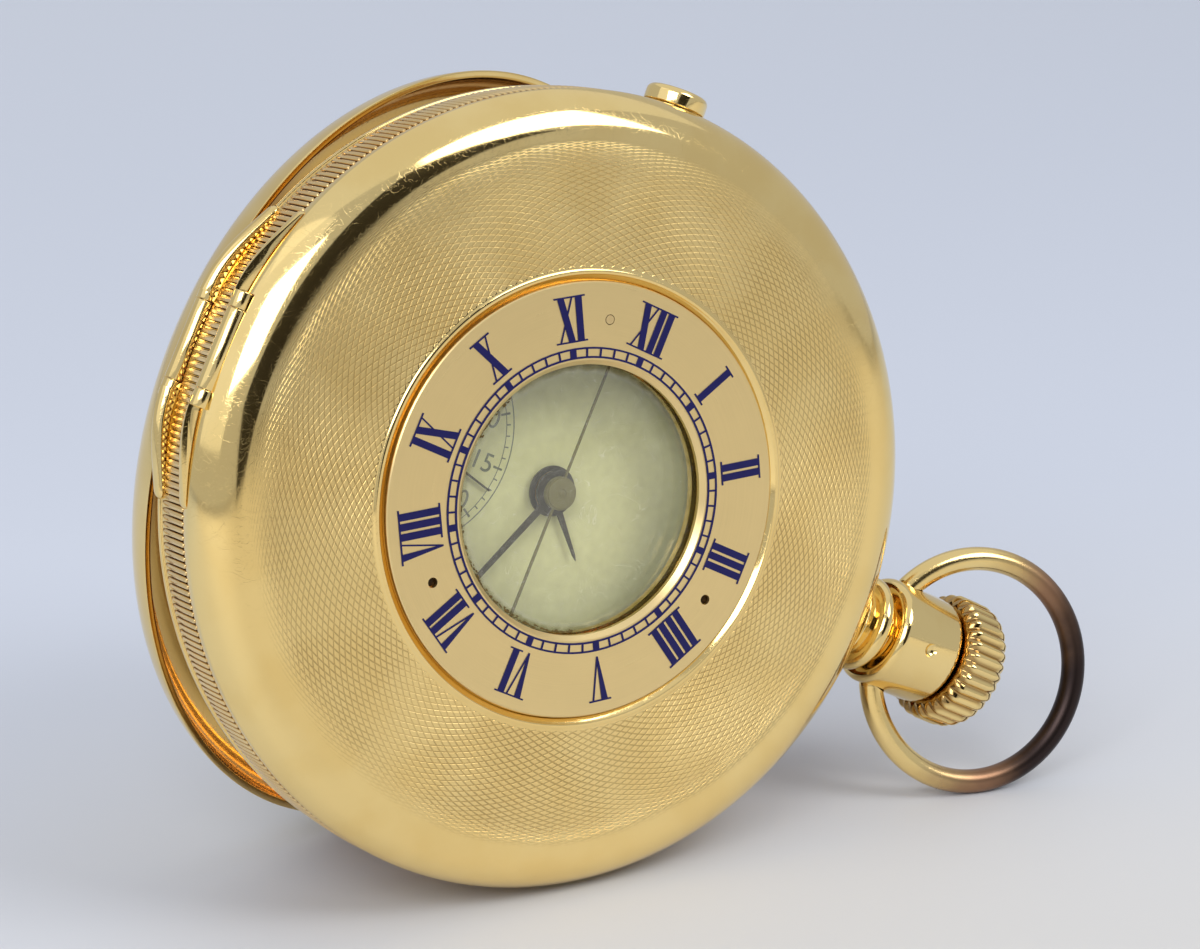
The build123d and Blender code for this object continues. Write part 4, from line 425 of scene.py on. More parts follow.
def brown_grime():
    """Dry brown dirt."""
    finish = Finish("brown_grime", watch, (0.12, 0.08, 0.015), 0.0, 0.75)
    cloud = finish.noise(6.0, 3.0)
    finish.paint(finish.blended(cloud, (0.20, 0.13, 0.02), (0.04, 0.025, 0.008)))
    finish.emboss(cloud, 0.03, 0.6)
    return finish


def grimy_reeds():
    """Gold of the reeding, darkened brown down in its grooves by grime and painted shade."""
    finish = polished_gold("reeded_gold", watch, (0.95, 0.70, 0.33), (0.90, 0.62, 0.26), 0.2)
    before = finish.shader.inputs["Base Color"].links[0].from_socket
    radius = finish.polar()[0]
    # Grime and painted shade: the bottoms of the grooves are painted dark brown.
    hollow_grime_and_painted_shade = finish.away(finish.step(radius, reed_floor + 0.02, reed_floor + 0.16))
    finish.paint(finish.blended(hollow_grime_and_painted_shade, before, (0.12, 0.035, 0.01)))
    return finish


def grimy_flutes():
    """Gold of the crown, darkened brown down in its flutes near the pendant by grime and painted shade."""
    finish = polished_gold("crown_gold", watch)
    before = finish.shader.inputs["Base Color"].links[0].from_socket
    parts = finish.parts()
    from_stem = finish.reach(parts[1], finish.sum("ADD", parts[2], -pendant_z))
    # Grime and painted shade: the bottoms of the flutes near the pendant are painted brown.
    hollow_grime_and_painted_shade = finish.away(finish.step(from_stem, 4.14, 4.34))
    flank = finish.away(finish.step(parts[0], 35.8, 36.4))
    grime_and_shade_share = finish.sum("MULTIPLY", finish.sum("MULTIPLY", hollow_grime_and_painted_shade, flank), 0.75)
    finish.paint(finish.blended(grime_and_shade_share, before, (0.30, 0.15, 0.04)))
    return finish


def tarnished_bow():
    """Gold of the bow, going brown and then black towards its far end."""
    finish = polished_gold("bow_gold_darker_to_far_end", hanging_bow)
    before = finish.shader.inputs["Base Color"].links[0].from_socket
    parts = finish.parts()
    # Brown, then black, is painted on the bow towards its far end.
    along = finish.sum("MULTIPLY_ADD", finish.noise(0.35, 4.0), 3.0, parts[0])
    brown = finish.step(along, bow_x + 5.5, bow_x + 11.5)
    black = finish.step(along, bow_x + 10.5, bow_x + 15.0)
    first = finish.blended(brown, before, (0.34, 0.19, 0.11))
    finish.paint(finish.blended(black, first, (0.04, 0.028, 0.026)))
    finish.dull(brown, 0.16, 0.36)
    return finish


# Turned and bent pieces
class Turning:
    """A piece for the lathe: a half section drawn from point to point, then spun about its axis."""

    def __init__(self, radius, height):
        self.mesh = bmesh.new()
        self.first = self.mesh.verts.new((radius, 0, height))
        self.end = self.first

    def to(self, radius, height):
        """Straight line to a point."""
        made = bmesh.ops.extrude_vert_indiv(self.mesh, verts=[self.end])
        self.end = made["verts"][0]
        self.end.co = (radius, 0, height)
        return self

    def bend(self, centre_radius, centre_height, degrees, pieces):
        """Arc about a centre, from the radius side towards the height side."""
        made = bmesh.ops.spin(
            self.mesh,
            geom=[self.end],
            axis=(0, -1, 0),
            cent=(centre_radius, 0, centre_height),
            angle=math.radians(degrees),
            steps=pieces,
        )
        self.end = next(item for item in made["geom_last"] if isinstance(item, bmesh.types.BMVert))
        return self

    def closed(self):
        """Join the end to the start."""
        self.mesh.edges.new((self.end, self.first))
        return self

    def spun(self, pieces):
        """Spin the half section into a whole piece."""
        section = self.mesh.verts[:] + self.mesh.edges[:]
        bmesh.ops.spin(
            self.mesh,
            geom=section,
            axis=(0, 0, 1),
            cent=(0, 0, 0),
            angle=2 * math.pi,
            steps=pieces,
            use_merge=True,
        )
        bmesh.ops.remove_doubles(self.mesh, verts=self.mesh.verts[:], dist=0.0005)
        bmesh.ops.recalc_face_normals(self.mesh, faces=self.mesh.faces[:])
        return self.mesh


def softened(mesh, width, pieces=2, sharper_than=35):
    """Round the sharp edges of a mesh."""
    limit = math.radians(sharper_than)
    sharp = [edge for edge in mesh.edges if edge.is_manifold and edge.calc_face_angle() > limit]
    bmesh.ops.bevel(
        mesh,
        geom=sharp,
        affect="EDGES",
        offset=width,
        offset_type="OFFSET",
        segments=pieces,
        profile=0.5,
        material=-1,
        clamp_overlap=True,
    )
    return mesh


def rod(radius, start, end, pieces=32):
    """Round rod from start to end along its own z."""
    mesh = bmesh.new()
    bmesh.ops.create_cone(
        mesh, cap_ends=True, segments=pieces, radius1=radius, radius2=radius, depth=end - start
    )
    bmesh.ops.translate(mesh, verts=mesh.verts[:], vec=(0, 0, (start + end) / 2))
    return mesh


def along_y(x, z):
    """Placing in the watch's millimetres of a piece whose own z runs along the hinges."""
    return Matrix.Translation((x, 0, z)) @ Matrix.Rotation(math.radians(-90), 4, "X")


def along_x(z):
    """Placing in the watch's millimetres of a piece whose own z runs along the pendant."""
    return Matrix.Translation((0, 0, z)) @ Matrix.Rotation(math.radians(90), 4, "Y")


def carved(mesh, cutters):
    """The mesh with the cutters taken out of it."""
    body = bpy.data.objects.new("blank", bpy.data.meshes.new("blank"))
    bpy.context.scene.collection.objects.link(body)
    mesh.to_mesh(body.data)
    tools = []
    for cutter in cutters:
        tool = bpy.data.objects.new("tool", bpy.data.meshes.new("tool"))
        bpy.context.scene.collection.objects.link(tool)
        cutter.to_mesh(tool.data)
        cut = body.modifiers.new("cut", "BOOLEAN")
        cut.operation = "DIFFERENCE"
        cut.solver = "EXACT"
        cut.object = tool
        tools.append(tool)
    graph = bpy.context.evaluated_depsgraph_get()
    result = bmesh.new()
    result.from_mesh(body.evaluated_get(graph).to_mesh())
    for done in tools + [body]:
        bpy.data.objects.remove(done)
    return result


def fitted(mesh, name, body, finish, placing, stands_for=(), sharper_than=32):
    """The piece in its place on its body, smooth where it is smooth."""
    limit = math.radians(sharper_than)
    for face in mesh.faces:
        face.smooth = True
    for edge in mesh.edges:
        if edge.is_manifold and edge.calc_face_angle() > limit:
            edge.smooth = False
    data = bpy.data.meshes.new(name)
    mesh.transform(placing @ Matrix.Scale(millimetre, 4))
    mesh.to_mesh(data)
    data.materials.append(finish.material)
    piece = bpy.data.objects.new(name, data)
    bpy.context.scene.collection.objects.link(piece)
    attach(piece, body)
    if stands_for:
        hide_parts(*stands_for)
    return piece


def coated(node, finish):
    """A CAD node with a better finish."""
    slots = nodes[node].material_slots
    for place in slots:
        place.material = finish.material


cover_gold = engine_turned(
    "engine_turned_front",
    watch,
    side=1,
    apex=front_apex,
    crown=front_crown,
    inner_edge=14.3,
    outer_edge=22.2,
    ring=15.0,
    throw=7.2,
    count=122,
)
case_gold = polished_gold("polished_gold_case", watch)
reed_gold = grimy_reeds()
crown_gold = grimy_flutes()
satin_ring = satin_gold("satin_gold_ring", watch, pale_gold, 0.006)
back_gold = engine_turned(
    "engine_turned_back",
    opened_back,
    side=-1,
    apex=back_apex,
    crown=back_crown,
    inner_edge=5.2,
    outer_edge=20.6,
    ring=13.0,
    throw=7.8,
    count=144,
)
bow_gold = tarnished_bow()
blue_enamel = hard_enamel("navy_enamel", watch, (0.002, 0.0015, 0.065), 0.01)
dial_enamel = hard_enamel("dial_enamel", watch, (0.80, 0.79, 0.38), 0.002)
dial_black = hard_enamel("dial_printing", watch, (0.20, 0.22, 0.14), 0.002)
rivet_gold = rivet_heads()
grime = brown_grime()
window_glass = clear_glass("window_glass", watch, window_radius)
dial_glass = clear_glass("dial_glass", watch, dial_glass_radius)
hand_metal = aged_metal("aged_hand_steel", (0.10, 0.09, 0.055), (0.05, 0.045, 0.03))
boss_metal = aged_metal("olive_gold_boss", (0.30, 0.27, 0.10), (0.22, 0.20, 0.08))
steel = plain_metal("polished_steel", watch, (0.62, 0.63, 0.65), 0.2, 2.0, 0.002)
blued_steel = plain_metal("blued_steel", watch, (0.05, 0.09, 0.32), 0.22, 2.0, 0.002)
gilt_brass = plain_metal("frosted_gilt_brass", watch, (0.85, 0.60, 0.24), 0.38, 5.0, 0.012)
inner_gold = polished_gold("inner_gold", watch, deep_gold, (0.66, 0.38, 0.10), 0.1)
ruby = ruby_red("ruby", watch)

slot_finish = {
    "case_gold": case_gold,
    "ring_gold": satin_ring,
    "inner_gold": inner_gold,
    "bow_gold": bow_gold,
    "blue_enamel": blue_enamel,
    "window_glass": window_glass,
    "dial_enamel": dial_enamel,
    "hand_metal": hand_metal,
    "boss_gold": boss_metal,
    "steel": steel,
    "blued_steel": blued_steel,
    "gilt_brass": gilt_brass,
    "ruby": ruby,
}
for part in frame["record"]["subparts"]:
    coated(part["node"], slot_finish[part["material_slot"]])
coated("chapter_ring_rivets", rivet_gold)


# Covers
def arc_end(centre, radius, degrees):
    """Point of an arc at an angle above the radius side."""
    turn = math.radians(degrees)
    return centre[0] + radius * math.cos(turn), centre[1] + radius * math.sin(turn)


def knuckle(name, body, finish, placing, z, start, end):
    """Round knuckle of a cover hinge with softened ends."""
    mesh = softened(rod(knuckle_radius, start, end, 40), 0.05)
    mesh.transform(along_y(hinge_x, z))
    return fitted(mesh, name, body, finish, placing)


def knuckle_room(z, start, end):
    """Cutter that leaves room for a knuckle."""
    mesh = rod(knuckle_radius + knuckle_relief, start, end, 48)
    mesh.transform(along_y(hinge_x, z))
    return mesh


def lid_knuckle_rooms(seam):
    """Room in a cover for the knuckles of the case at each side of its own."""
    reach = side_knuckle_end + knuckle_relief
    return [knuckle_room(seam, side * middle_knuckle_end, side * reach) for side in (1, -1)]


def front_cover():
    """Front cover with the raised lip round the numeral ring."""
    crown_centre = front_apex - front_crown
    lip = ring_edge + 0.68
    lip_height = crown_centre + math.sqrt(front_crown ** 2 - lip ** 2)
    inner_bend_radius = front_bend_radius - front_wall
    foot = math.degrees(math.asin((cover_foot - front_bend[1]) / front_bend_radius))
    inner_foot = math.degrees(math.asin((cover_foot - front_bend[1]) / inner_bend_radius))
    lathe = Turning(*arc_end(front_bend, front_bend_radius, foot))
    lathe.bend(*front_bend, front_bend_top - foot, 20)
    crown_turn = 90 - front_bend_top - math.degrees(math.asin(lip / front_crown))
    lathe.bend(0, crown_centre, crown_turn, 14)
    lathe.to(lip - 0.08, lip_height + 0.07)
    lathe.to(lip - 0.2, lip_height + 0.1)
    lathe.to(lip - 0.34, lip_height + 0.07)
    lathe.to(lip - 0.42, lip_height - 0.02)
    lathe.to(ring_edge, lip_height - 0.16)
    lathe.to(ring_edge, ring_floor)
    lathe.to(window_radius, ring_floor)
    lathe.to(window_radius, ring_floor - glass_lip)
    lathe.to(glass_radius, ring_floor - glass_lip)
    lathe.to(glass_radius, boss_floor)
    lathe.to(boss_edge, boss_floor)
    inner_crown = front_crown - front_wall
    lathe.to(boss_edge, crown_centre + math.sqrt(inner_crown ** 2 - boss_edge ** 2))
    inner_turn = math.degrees(math.asin(boss_edge / inner_crown)) - 90 + front_bend_top
    lathe.bend(0, crown_centre, inner_turn, 10)
    lathe.bend(*front_bend, inner_foot - front_bend_top, 12)
    mesh = softened(lathe.closed().spun(256), 0.06, 2, 40)
    mesh = carved(mesh, lid_knuckle_rooms(front_seam))
    fitted(mesh, "front_lid", "front_cover", cover_gold, watch, ["front_cover"])
    ends = (-middle_knuckle_end, middle_knuckle_end)
    knuckle("front_lid_knuckle", "front_cover", case_gold, watch, front_seam, *ends)


def back_cover():
    """Back cover as it stands open."""
    end_turn = math.radians(back_bend_end)
    outer_end = back_bend[0] + back_bend_radius * math.cos(end_turn)
    crown = outer_end / math.cos(end_turn)
    crown_centre = back_bend[1] + (crown - back_bend_radius) * math.sin(end_turn)
    crown_turn = 90 - back_bend_end
    inner_foot = math.degrees(math.asin((back_bend[1] - back_foot) / (back_bend_radius - back_wall)))
    lathe = Turning(*arc_end(back_bend, back_bend_radius, -back_bend_start))
    lathe.bend(*back_bend, back_bend_start - back_bend_end, 24)
    lathe.bend(0, crown_centre, -crown_turn, 14)
    lathe.to(0, crown_centre - crown + back_wall)
    lathe.bend(0, crown_centre, crown_turn, 12)
    lathe.bend(*back_bend, back_bend_end - inner_foot, 16)
    mesh = softened(lathe.closed().spun(256), 0.06, 2, 40)
    mesh = carved(mesh, lid_knuckle_rooms(back_seam))
    fitted(mesh, "back_lid", "back_cover", back_gold, opened_back, ["back_cover"])
    ends = (-middle_knuckle_end, middle_knuckle_end)
    knuckle("back_lid_knuckle", "back_cover", case_gold, opened_back, back_seam, *ends)


# Case middle
def band():
    """Body of the case middle, with its strips above and below the reeding."""
    outer_bore, back_bore, dust_cover_bore, plate_bore, dial_bore = 22.7, 22.9, 22.0, 21.15, 19.9
    lathe = Turning(back_bore, back_seam)
    corners = (
        (strip_radius, back_seam),
        (strip_radius, -band_height),
        (reed_floor, -band_height),
        (reed_floor, 0),
        (strip_radius, 0),
        (strip_radius, front_seam),
        (outer_bore, front_seam),
        (outer_bore, -0.3),
        (plate_bore, -0.3),
        (plate_bore, -0.85),
        (dial_bore, -0.85),
        (dial_bore, -1.3),
        (plate_bore, -1.3),
        (plate_bore, -1.7),
        (outer_bore, -1.7),
        (outer_bore, -3.1),
        (plate_bore, -3.1),
        (plate_bore, -3.3),
        (dust_cover_bore, -3.3),
        (dust_cover_bore, -band_height),
        (back_bore, -band_height),
    )
    for corner in corners:
        lathe.to(*corner)
    mesh = softened(lathe.closed().spun(256), 0.09, 3, 40)
    reach = middle_knuckle_end + knuckle_relief
    rooms = [knuckle_room(seam, -reach, reach) for seam in (front_seam, back_seam)]
    stem_room = rod(1.35, 19, 26)
    stem_room.transform(along_x(pendant_z))
    button_room = rod(0.94, 19, 26)
    button_seat = rod(push_seat_radius, 24.4, 26, 64)
    for room in (button_room, button_seat):
        room.transform(Matrix.Rotation(math.radians(push_hour_angle), 4, "Z") @ along_x(push_z))
    mesh = carved(mesh, rooms + [stem_room, button_room, button_seat])
    fitted(mesh, "case_band", "case", case_gold, watch, ["case_middle"])


def reeding():
    """Coin edge: one rounded reed that falls away to the back, repeated round the band."""
    mesh = bmesh.new()
    bmesh.ops.create_uvsphere(mesh, u_segments=8, v_segments=10, radius=1)
    half_width = math.pi * case_radius / reed_count * 0.93
    bmesh.ops.scale(mesh, verts=mesh.verts[:], vec=(case_radius - reed_floor, half_width, 1))
    front_end, back_end = 0.25, 1.1
    for vertex in mesh.verts:
        if vertex.co.z > 0.01:
            vertex.co.z = vertex.co.z * front_end + band_height / 2 - front_end
        elif vertex.co.z < -0.01:
            vertex.co.z = vertex.co.z * back_end - band_height / 2 + back_end
        fall = max(-vertex.co.z - 0.1, 0) / (band_height / 2)
        vertex.co.x -= 0.16 * fall ** 2
    bmesh.ops.translate(mesh, verts=mesh.verts[:], vec=(reed_floor, 0, -band_height / 2))
    hidden = [vertex for vertex in mesh.verts if vertex.co.x < reed_floor - 0.18]
    bmesh.ops.delete(mesh, geom=hidden, context="VERTS")
    bmesh.ops.spin(
        mesh,
        geom=mesh.verts[:] + mesh.edges[:] + mesh.faces[:],
        axis=(0, 0, 1),
        cent=(0, 0, 0),
        angle=2 * math.pi * (reed_count - 1) / reed_count,
        steps=reed_count - 1,
        use_duplicate=True,
    )
    seat = Matrix.Rotation(math.radians(push_hour_angle), 3, "Z") @ Vector((case_radius, 0, push_z))
    near_seat = push_seat_radius + 1.4
    beside = [edge for edge in mesh.edges if (edge.verts[0].co - seat).length < near_seat]
    flanks = [edge for edge in beside if edge.calc_length() > 1]
    bmesh.ops.subdivide_edges(mesh, edges=flanks, cuts=12, use_grid_fill=True)
    over_seat = [vertex for vertex in mesh.verts if (vertex.co - seat).length < push_seat_radius + 0.04]
    bmesh.ops.delete(mesh, geom=over_seat, context="VERTS")
    return fitted(mesh, "coin_edge_reeding", "case", reed_gold, watch)


def hinge_leaf(name, seam, toward_band, side):
    """Tongue that runs on from a knuckle, lies down on the band and ends in a rounded tip."""
    start, root, end, tip = 3.0, side_knuckle_end, 9.1, 0.52
    swell, thinning, drift = 0.85, 0.4, 0.42
    lathe = Turning(0, start)
    lathe.to(knuckle_radius, start)
    rings = 18
    for ring in range(rings + 1):
        share = ring / rings
        lathe.to(knuckle_radius + (tip - knuckle_radius) * share, root + (end - root) * share)
    lathe.bend(0, end, 90, 8)
    mesh = lathe.closed().spun(32)
    root_turn = math.atan2(root, -hinge_x)
    root_radius = math.hypot(root, hinge_x)
    for vertex in mesh.verts:
        beside, off_seam, along = vertex.co
        share = min(max((along - root) / (end + tip - root), 0), 1)
        settled = (root_radius - strip_radius) * (1 - share) ** 2 * (1 + 2 * share)
        rise = settled + swell * share * (1 - share) ** 2
        radius = strip_radius + rise + beside * (1 - thinning * share)
        turn = root_turn + (along - root) / strip_radius
        vertex.co.x = -radius * math.cos(turn)
        vertex.co.y = side * radius * math.sin(turn)
        vertex.co.z = seam + off_seam + toward_band * drift * share
    bmesh.ops.recalc_face_normals(mesh, faces=mesh.faces[:])
    cut = bmesh.ops.bisect_plane(
        mesh,
        geom=mesh.verts[:] + mesh.edges[:] + mesh.faces[:],
        plane_co=(0, 0, seam + 0.03 * toward_band),
        plane_no=(0, 0, -toward_band),
        clear_outer=True,
    )
    rim = [item for item in cut["geom_cut"] if isinstance(item, bmesh.types.BMEdge)]
    bmesh.ops.holes_fill(mesh, edges=rim)
    bmesh.ops.recalc_face_normals(mesh, faces=mesh.faces[:])
    return fitted(softened(mesh, 0.06, 2, 50), name, "case", case_gold, watch)


def hinges():
    """Fixed knuckles and leaves of both cover hinges, and their pins."""
    pins = bmesh.new()
    for seam in (front_seam, back_seam):
        pin = softened(rod(0.26, -side_knuckle_end - 0.01, side_knuckle_end + 0.01, 24), 0.05)
        pin.transform(along_y(hinge_x, seam))
        spare = bpy.data.meshes.new("pin")
        pin.to_mesh(spare)
        pins.from_mesh(spare)
        bpy.data.meshes.remove(spare)
    fitted(pins, "hinge_pins", "case", case_gold, watch, ["cover_hinge_pins"])
    for seam, title, toward_band in ((front_seam, "front", -1), (back_seam, "back", 1)):
        for side, end_name in ((1, "upper"), (-1, "lower")):
            start, end = sorted((side * (middle_knuckle_end + knuckle_relief), side * side_knuckle_end))
            knuckle(f"{title}_{end_name}_knuckle", "case", case_gold, watch, seam, start, end)
            hinge_leaf(f"{title}_{end_name}_leaf", seam, toward_band, side)


# Pendant, crown and bow
def pendant():
    """Pendant: flared foot, bead and round head with its sockets for the bow."""
    lathe = Turning(stem_bore, 25.15)
    lathe.to(2.95, 25.15)
    lathe.bend(2.95, 25.3, 90, 4)
    lathe.to(2.75, 25.42)
    lathe.to(2.35, 25.85)
    lathe.to(2.3, 26.35)
    lathe.to(2.7, 26.35)
    lathe.bend(2.7, 26.9, 180, 14)
    lathe.to(2.3, 27.45)
    lathe.to(2.3, 27.95)
    lathe.to(3.05, 27.95)
    lathe.bend(3.05, 28.55, 90, 8)
    lathe.to(3.65, 32.65)
    lathe.bend(3.05, 32.65, 90, 8)
    lathe.to(stem_bore, 33.25)
    mesh = softened(lathe.closed().spun(128), 0.04, 2, 40)
    sockets = []
    for side in (1, -1):
        start, end = sorted((side * 2.7, side * 4.5))
        socket = rod(1.0, start, end, 40)
        socket.transform(along_y(0, bow_x))
        sockets.append(socket)
    dimple = bmesh.new()
    bmesh.ops.create_uvsphere(dimple, u_segments=32, v_segments=16, radius=0.6)
    bmesh.ops.translate(dimple, verts=dimple.verts[:], vec=(-4.0, 0, 30.6))
    mesh = carved(mesh, sockets + [dimple])
    mesh.transform(along_x(pendant_z))
    fitted(mesh, "pendant_head", "case", case_gold, watch, ["pendant"])


def crown():
    """Crown with rounded flutes, round shoulders and a domed end."""
    flutes, start, end = 32, 33.4, 38.0
    lathe = Turning(0, start)
    lathe.to(3.55, start)
    lathe.bend(3.55, start + 0.85, 90, 10)
    lathe.to(4.4, start + 1.6)
    lathe.to(4.4, end - 2.35)
    lathe.bend(3.0, end - 2.35, 68, 12)
    shoulder, height = 3.0 + 1.4 * math.cos(math.radians(68)), end - 2.35 + 1.4 * math.sin(math.radians(68))
    dome = end - height
    sphere = (shoulder ** 2 + dome ** 2) / (2 * dome)
    lathe.bend(0, end - sphere, math.degrees(math.asin(shoulder / sphere)), 10)
    mesh = lathe.closed().spun(flutes * 10)
    for vertex in mesh.verts:
        radius = math.hypot(vertex.co.x, vertex.co.y)
        if radius < 2.6:
            continue
        angle = math.atan2(vertex.co.y, vertex.co.x)
        share = min((radius - 2.6) / 1.5, 1) ** 1.5
        cut = 0.26 * share * (1 - abs(math.cos(flutes * angle / 2))) ** 0.8
        vertex.co.x *= (radius - cut) / radius
        vertex.co.y *= (radius - cut) / radius
    mesh.transform(along_x(pendant_z))
    fitted(mesh, "fluted_crown", "winding", crown_gold, watch, ["crown"], 60)


def bow():
    """Bow of round wire with its ends turned into the pendant."""
    reach = math.sqrt(bow_radius ** 2 - bow_half_gap ** 2)
    half_turn = math.asin(bow_half_gap / bow_radius)
    mesh = bmesh.new()
    bmesh.ops.create_circle(mesh, segments=32, radius=bow_wire)
    bmesh.ops.rotate(mesh, verts=mesh.verts[:], cent=(0, 0, 0), matrix=Matrix.Rotation(math.pi / 2, 3, "X"))
    bmesh.ops.translate(mesh, verts=mesh.verts[:], vec=(bow_radius, 0, 0))
    start = Matrix.Rotation(math.pi + half_turn, 3, "Z")
    bmesh.ops.rotate(mesh, verts=mesh.verts[:], cent=(0, 0, 0), matrix=start)
    sweep = 2 * math.pi - 2 * half_turn
    bmesh.ops.spin(mesh, geom=mesh.edges[:], axis=(0, 0, 1), cent=(0, 0, 0), angle=sweep, steps=144)
    bmesh.ops.translate(mesh, verts=mesh.verts[:], vec=(bow_x + reach, 0, pendant_z))
    for side in (1, -1):
        ball = bmesh.ops.create_uvsphere(mesh, u_segments=32, v_segments=20, radius=bow_wire)
        bmesh.ops.translate(mesh, verts=ball["verts"], vec=(bow_x, side * bow_half_gap, pendant_z))
    bmesh.ops.recalc_face_normals(mesh, faces=mesh.faces[:])
    for side in (1, -1):
        start, end = sorted((side * 1.8, side * bow_half_gap))
        pin = rod(0.6, start, end, 32)
        pin.transform(along_y(bow_x, pendant_z))
        spare = bpy.data.meshes.new("pin")
        pin.to_mesh(spare)
        mesh.from_mesh(spare)
        bpy.data.meshes.remove(spare)
    fitted(mesh, "bow_ring", "bow", bow_gold, hanging_bow, ["bow"])


def push_piece():
    """Push-piece with a softly rounded head."""
    lathe = Turning(0, 21.6)
    lathe.to(push_stem_radius, 21.6)
    lathe.to(push_stem_radius, 25.1)
    lathe.to(1.85, 25.1)
    lathe.bend(1.85, 25.25, 90, 4)
    lathe.to(push_radius, 25.8)
    lathe.bend(1.55, 25.8, 84, 8)
    lathe.to(0, 26.26)
    mesh = lathe.closed().spun(64)
    mesh.transform(Matrix.Rotation(math.radians(push_hour_angle), 4, "Z") @ along_x(push_z))
    fitted(mesh, "push_piece_head", "push_button", case_gold, watch, ["push_button"])


# Glass
def domed_glass(name, body, finish, radius, foot, thickness, dome, flat, stands_for):
    """Glass with a shallow dome and a flat rim."""
    half = radius - flat
    sphere = (half ** 2 + dome ** 2) / (2 * dome)
    span = math.degrees(math.asin(half / sphere))
    lathe = Turning(half, foot)
    lathe.to(radius, foot)
    lathe.to(radius, foot + thickness)
    lathe.to(half, foot + thickness)
    lathe.bend(0, foot + thickness + dome - sphere, span, 24)
    lathe.to(0, foot + dome)
    lathe.bend(0, foot + dome - sphere, -span, 24)
    mesh = softened(lathe.closed().spun(128), 0.05, 2, 60)
    fitted(mesh, name, body, finish, watch, [stands_for])


# Dial
class Printing:
    """Flat strokes printed on a level of the watch, a little proud of it."""

    def __init__(self, level, thickness):
        self.mesh = bmesh.new()
        self.level = level
        self.thickness = thickness

    def stroke(self, corners, placing=Matrix()):
        """Stroke with four corners."""
        spots = [placing @ Vector((x, y, self.level)) for x, y in corners]
        self.mesh.faces.new([self.mesh.verts.new(spot) for spot in spots])

    def ring(self, x, y, radius, line, pieces=96):
        """Thin ring about a place."""
        first = bmesh.ops.create_circle(self.mesh, segments=pieces, radius=radius)["verts"]
        second = bmesh.ops.create_circle(self.mesh, segments=pieces, radius=radius + line)["verts"]
        bmesh.ops.translate(self.mesh, verts=first + second, vec=(x, y, self.level))
        edges = {edge for vertex in first + second for edge in vertex.link_edges}
        bmesh.ops.bridge_loops(self.mesh, edges=list(edges))

    def ticks(self, x, y, inner, outer, width, count):
        """Short strokes in a ring about a place."""
        for tick in range(count):
            placing = Matrix.Translation((x, y, 0)) @ Matrix.Rotation(2 * math.pi * tick / count, 4, "Z")
            half = width / 2
            self.stroke(((inner, -half), (outer, -half), (outer, half), (inner, half)), placing)

    def raised(self):
        """The strokes with their thickness."""
        bmesh.ops.recalc_face_normals(self.mesh, faces=self.mesh.faces[:])
        down = [face for face in self.mesh.faces if face.normal.z < 0]
        bmesh.ops.reverse_faces(self.mesh, faces=down)
        made = bmesh.ops.extrude_face_region(self.mesh, geom=self.mesh.faces[:])
        lifted = [item for item in made["geom"] if isinstance(item, bmesh.types.BMVert)]
        bmesh.ops.translate(self.mesh, verts=lifted, vec=(0, 0, self.thickness))
        bmesh.ops.recalc_face_normals(self.mesh, faces=self.mesh.faces[:])
        return self.mesh


def roman(printing, text, hour, foot, height, thick, thin):
    """Roman numeral of an hour with its foot towards the centre."""
    widths = {"I": thick, "V": 2.4 * thick, "X": 2.4 * thick}
    gap = 0.4 * thick
    total = sum(widths[letter] for letter in text) + gap * (len(text) - 1)
    placing = Matrix.Rotation(math.radians(-30 * hour), 4, "Z") @ Matrix.Translation((0, foot, 0))

    def stroke(foot_left, foot_right, top_left, top_right, low=0, high=height):
        corners = ((foot_left, low), (foot_right, low), (top_right, high), (top_left, high))
        printing.stroke(corners, placing)

    left = -total / 2
    for letter in text:
        right = left + widths[letter]
        middle = (left + right) / 2
        serif_left, serif_right = left - 0.45 * thick, right + 0.45 * thick
        stroke(serif_left, serif_right, serif_left, serif_right, height - thin, height)
        if letter != "V":
            stroke(serif_left, serif_right, serif_left, serif_right, 0, thin)
        if letter == "I":
            stroke(left, right, left, right)
        elif letter == "V":
            stroke(middle - thin, middle, left, left + thick)
            stroke(middle - thin, middle, right - thin, right)
        else:
            stroke(right - thick, right, left, left + thick)
            stroke(left, left + thin, right - thin, right)
        left = right + gap


dial_face = -0.8
track_inner = 17.5
track_outer = 18.2
seconds_x = -10.5
seconds_outer = 7.05
seconds_inner = 6.55


def dial_printing():
    """Hours, minute track and small seconds of the dial."""
    printing = Printing(dial_face, 0.012)
    hours = ("XII", "I", "II", "III", "IIII", "V", "VI", "VII", "VIII", "IX", "X", "XI")
    for hour, text in enumerate(hours):
        if text != "IX":
            roman(printing, text, hour, 13.1, 3.5, 0.5, 0.1)
    printing.ring(0, 0, track_inner, 0.08, 192)
    printing.ring(0, 0, track_outer, 0.08, 192)
    printing.ticks(0, 0, track_inner, track_outer, 0.1, 60)
    printing.ticks(0, 0, track_inner, track_outer, 0.3, 12)
    printing.ring(seconds_x, 0, seconds_outer, 0.07, 144)
    printing.ring(seconds_x, 0, seconds_inner, 0.05, 144)
    printing.ticks(seconds_x, 0, seconds_inner, seconds_outer - 0.2, 0.08, 60)
    printing.ticks(seconds_x, 0, seconds_inner - 0.35, seconds_outer - 0.2, 0.14, 12)
    fitted(printing.raised(), "dial_markings", "case", dial_black, watch)


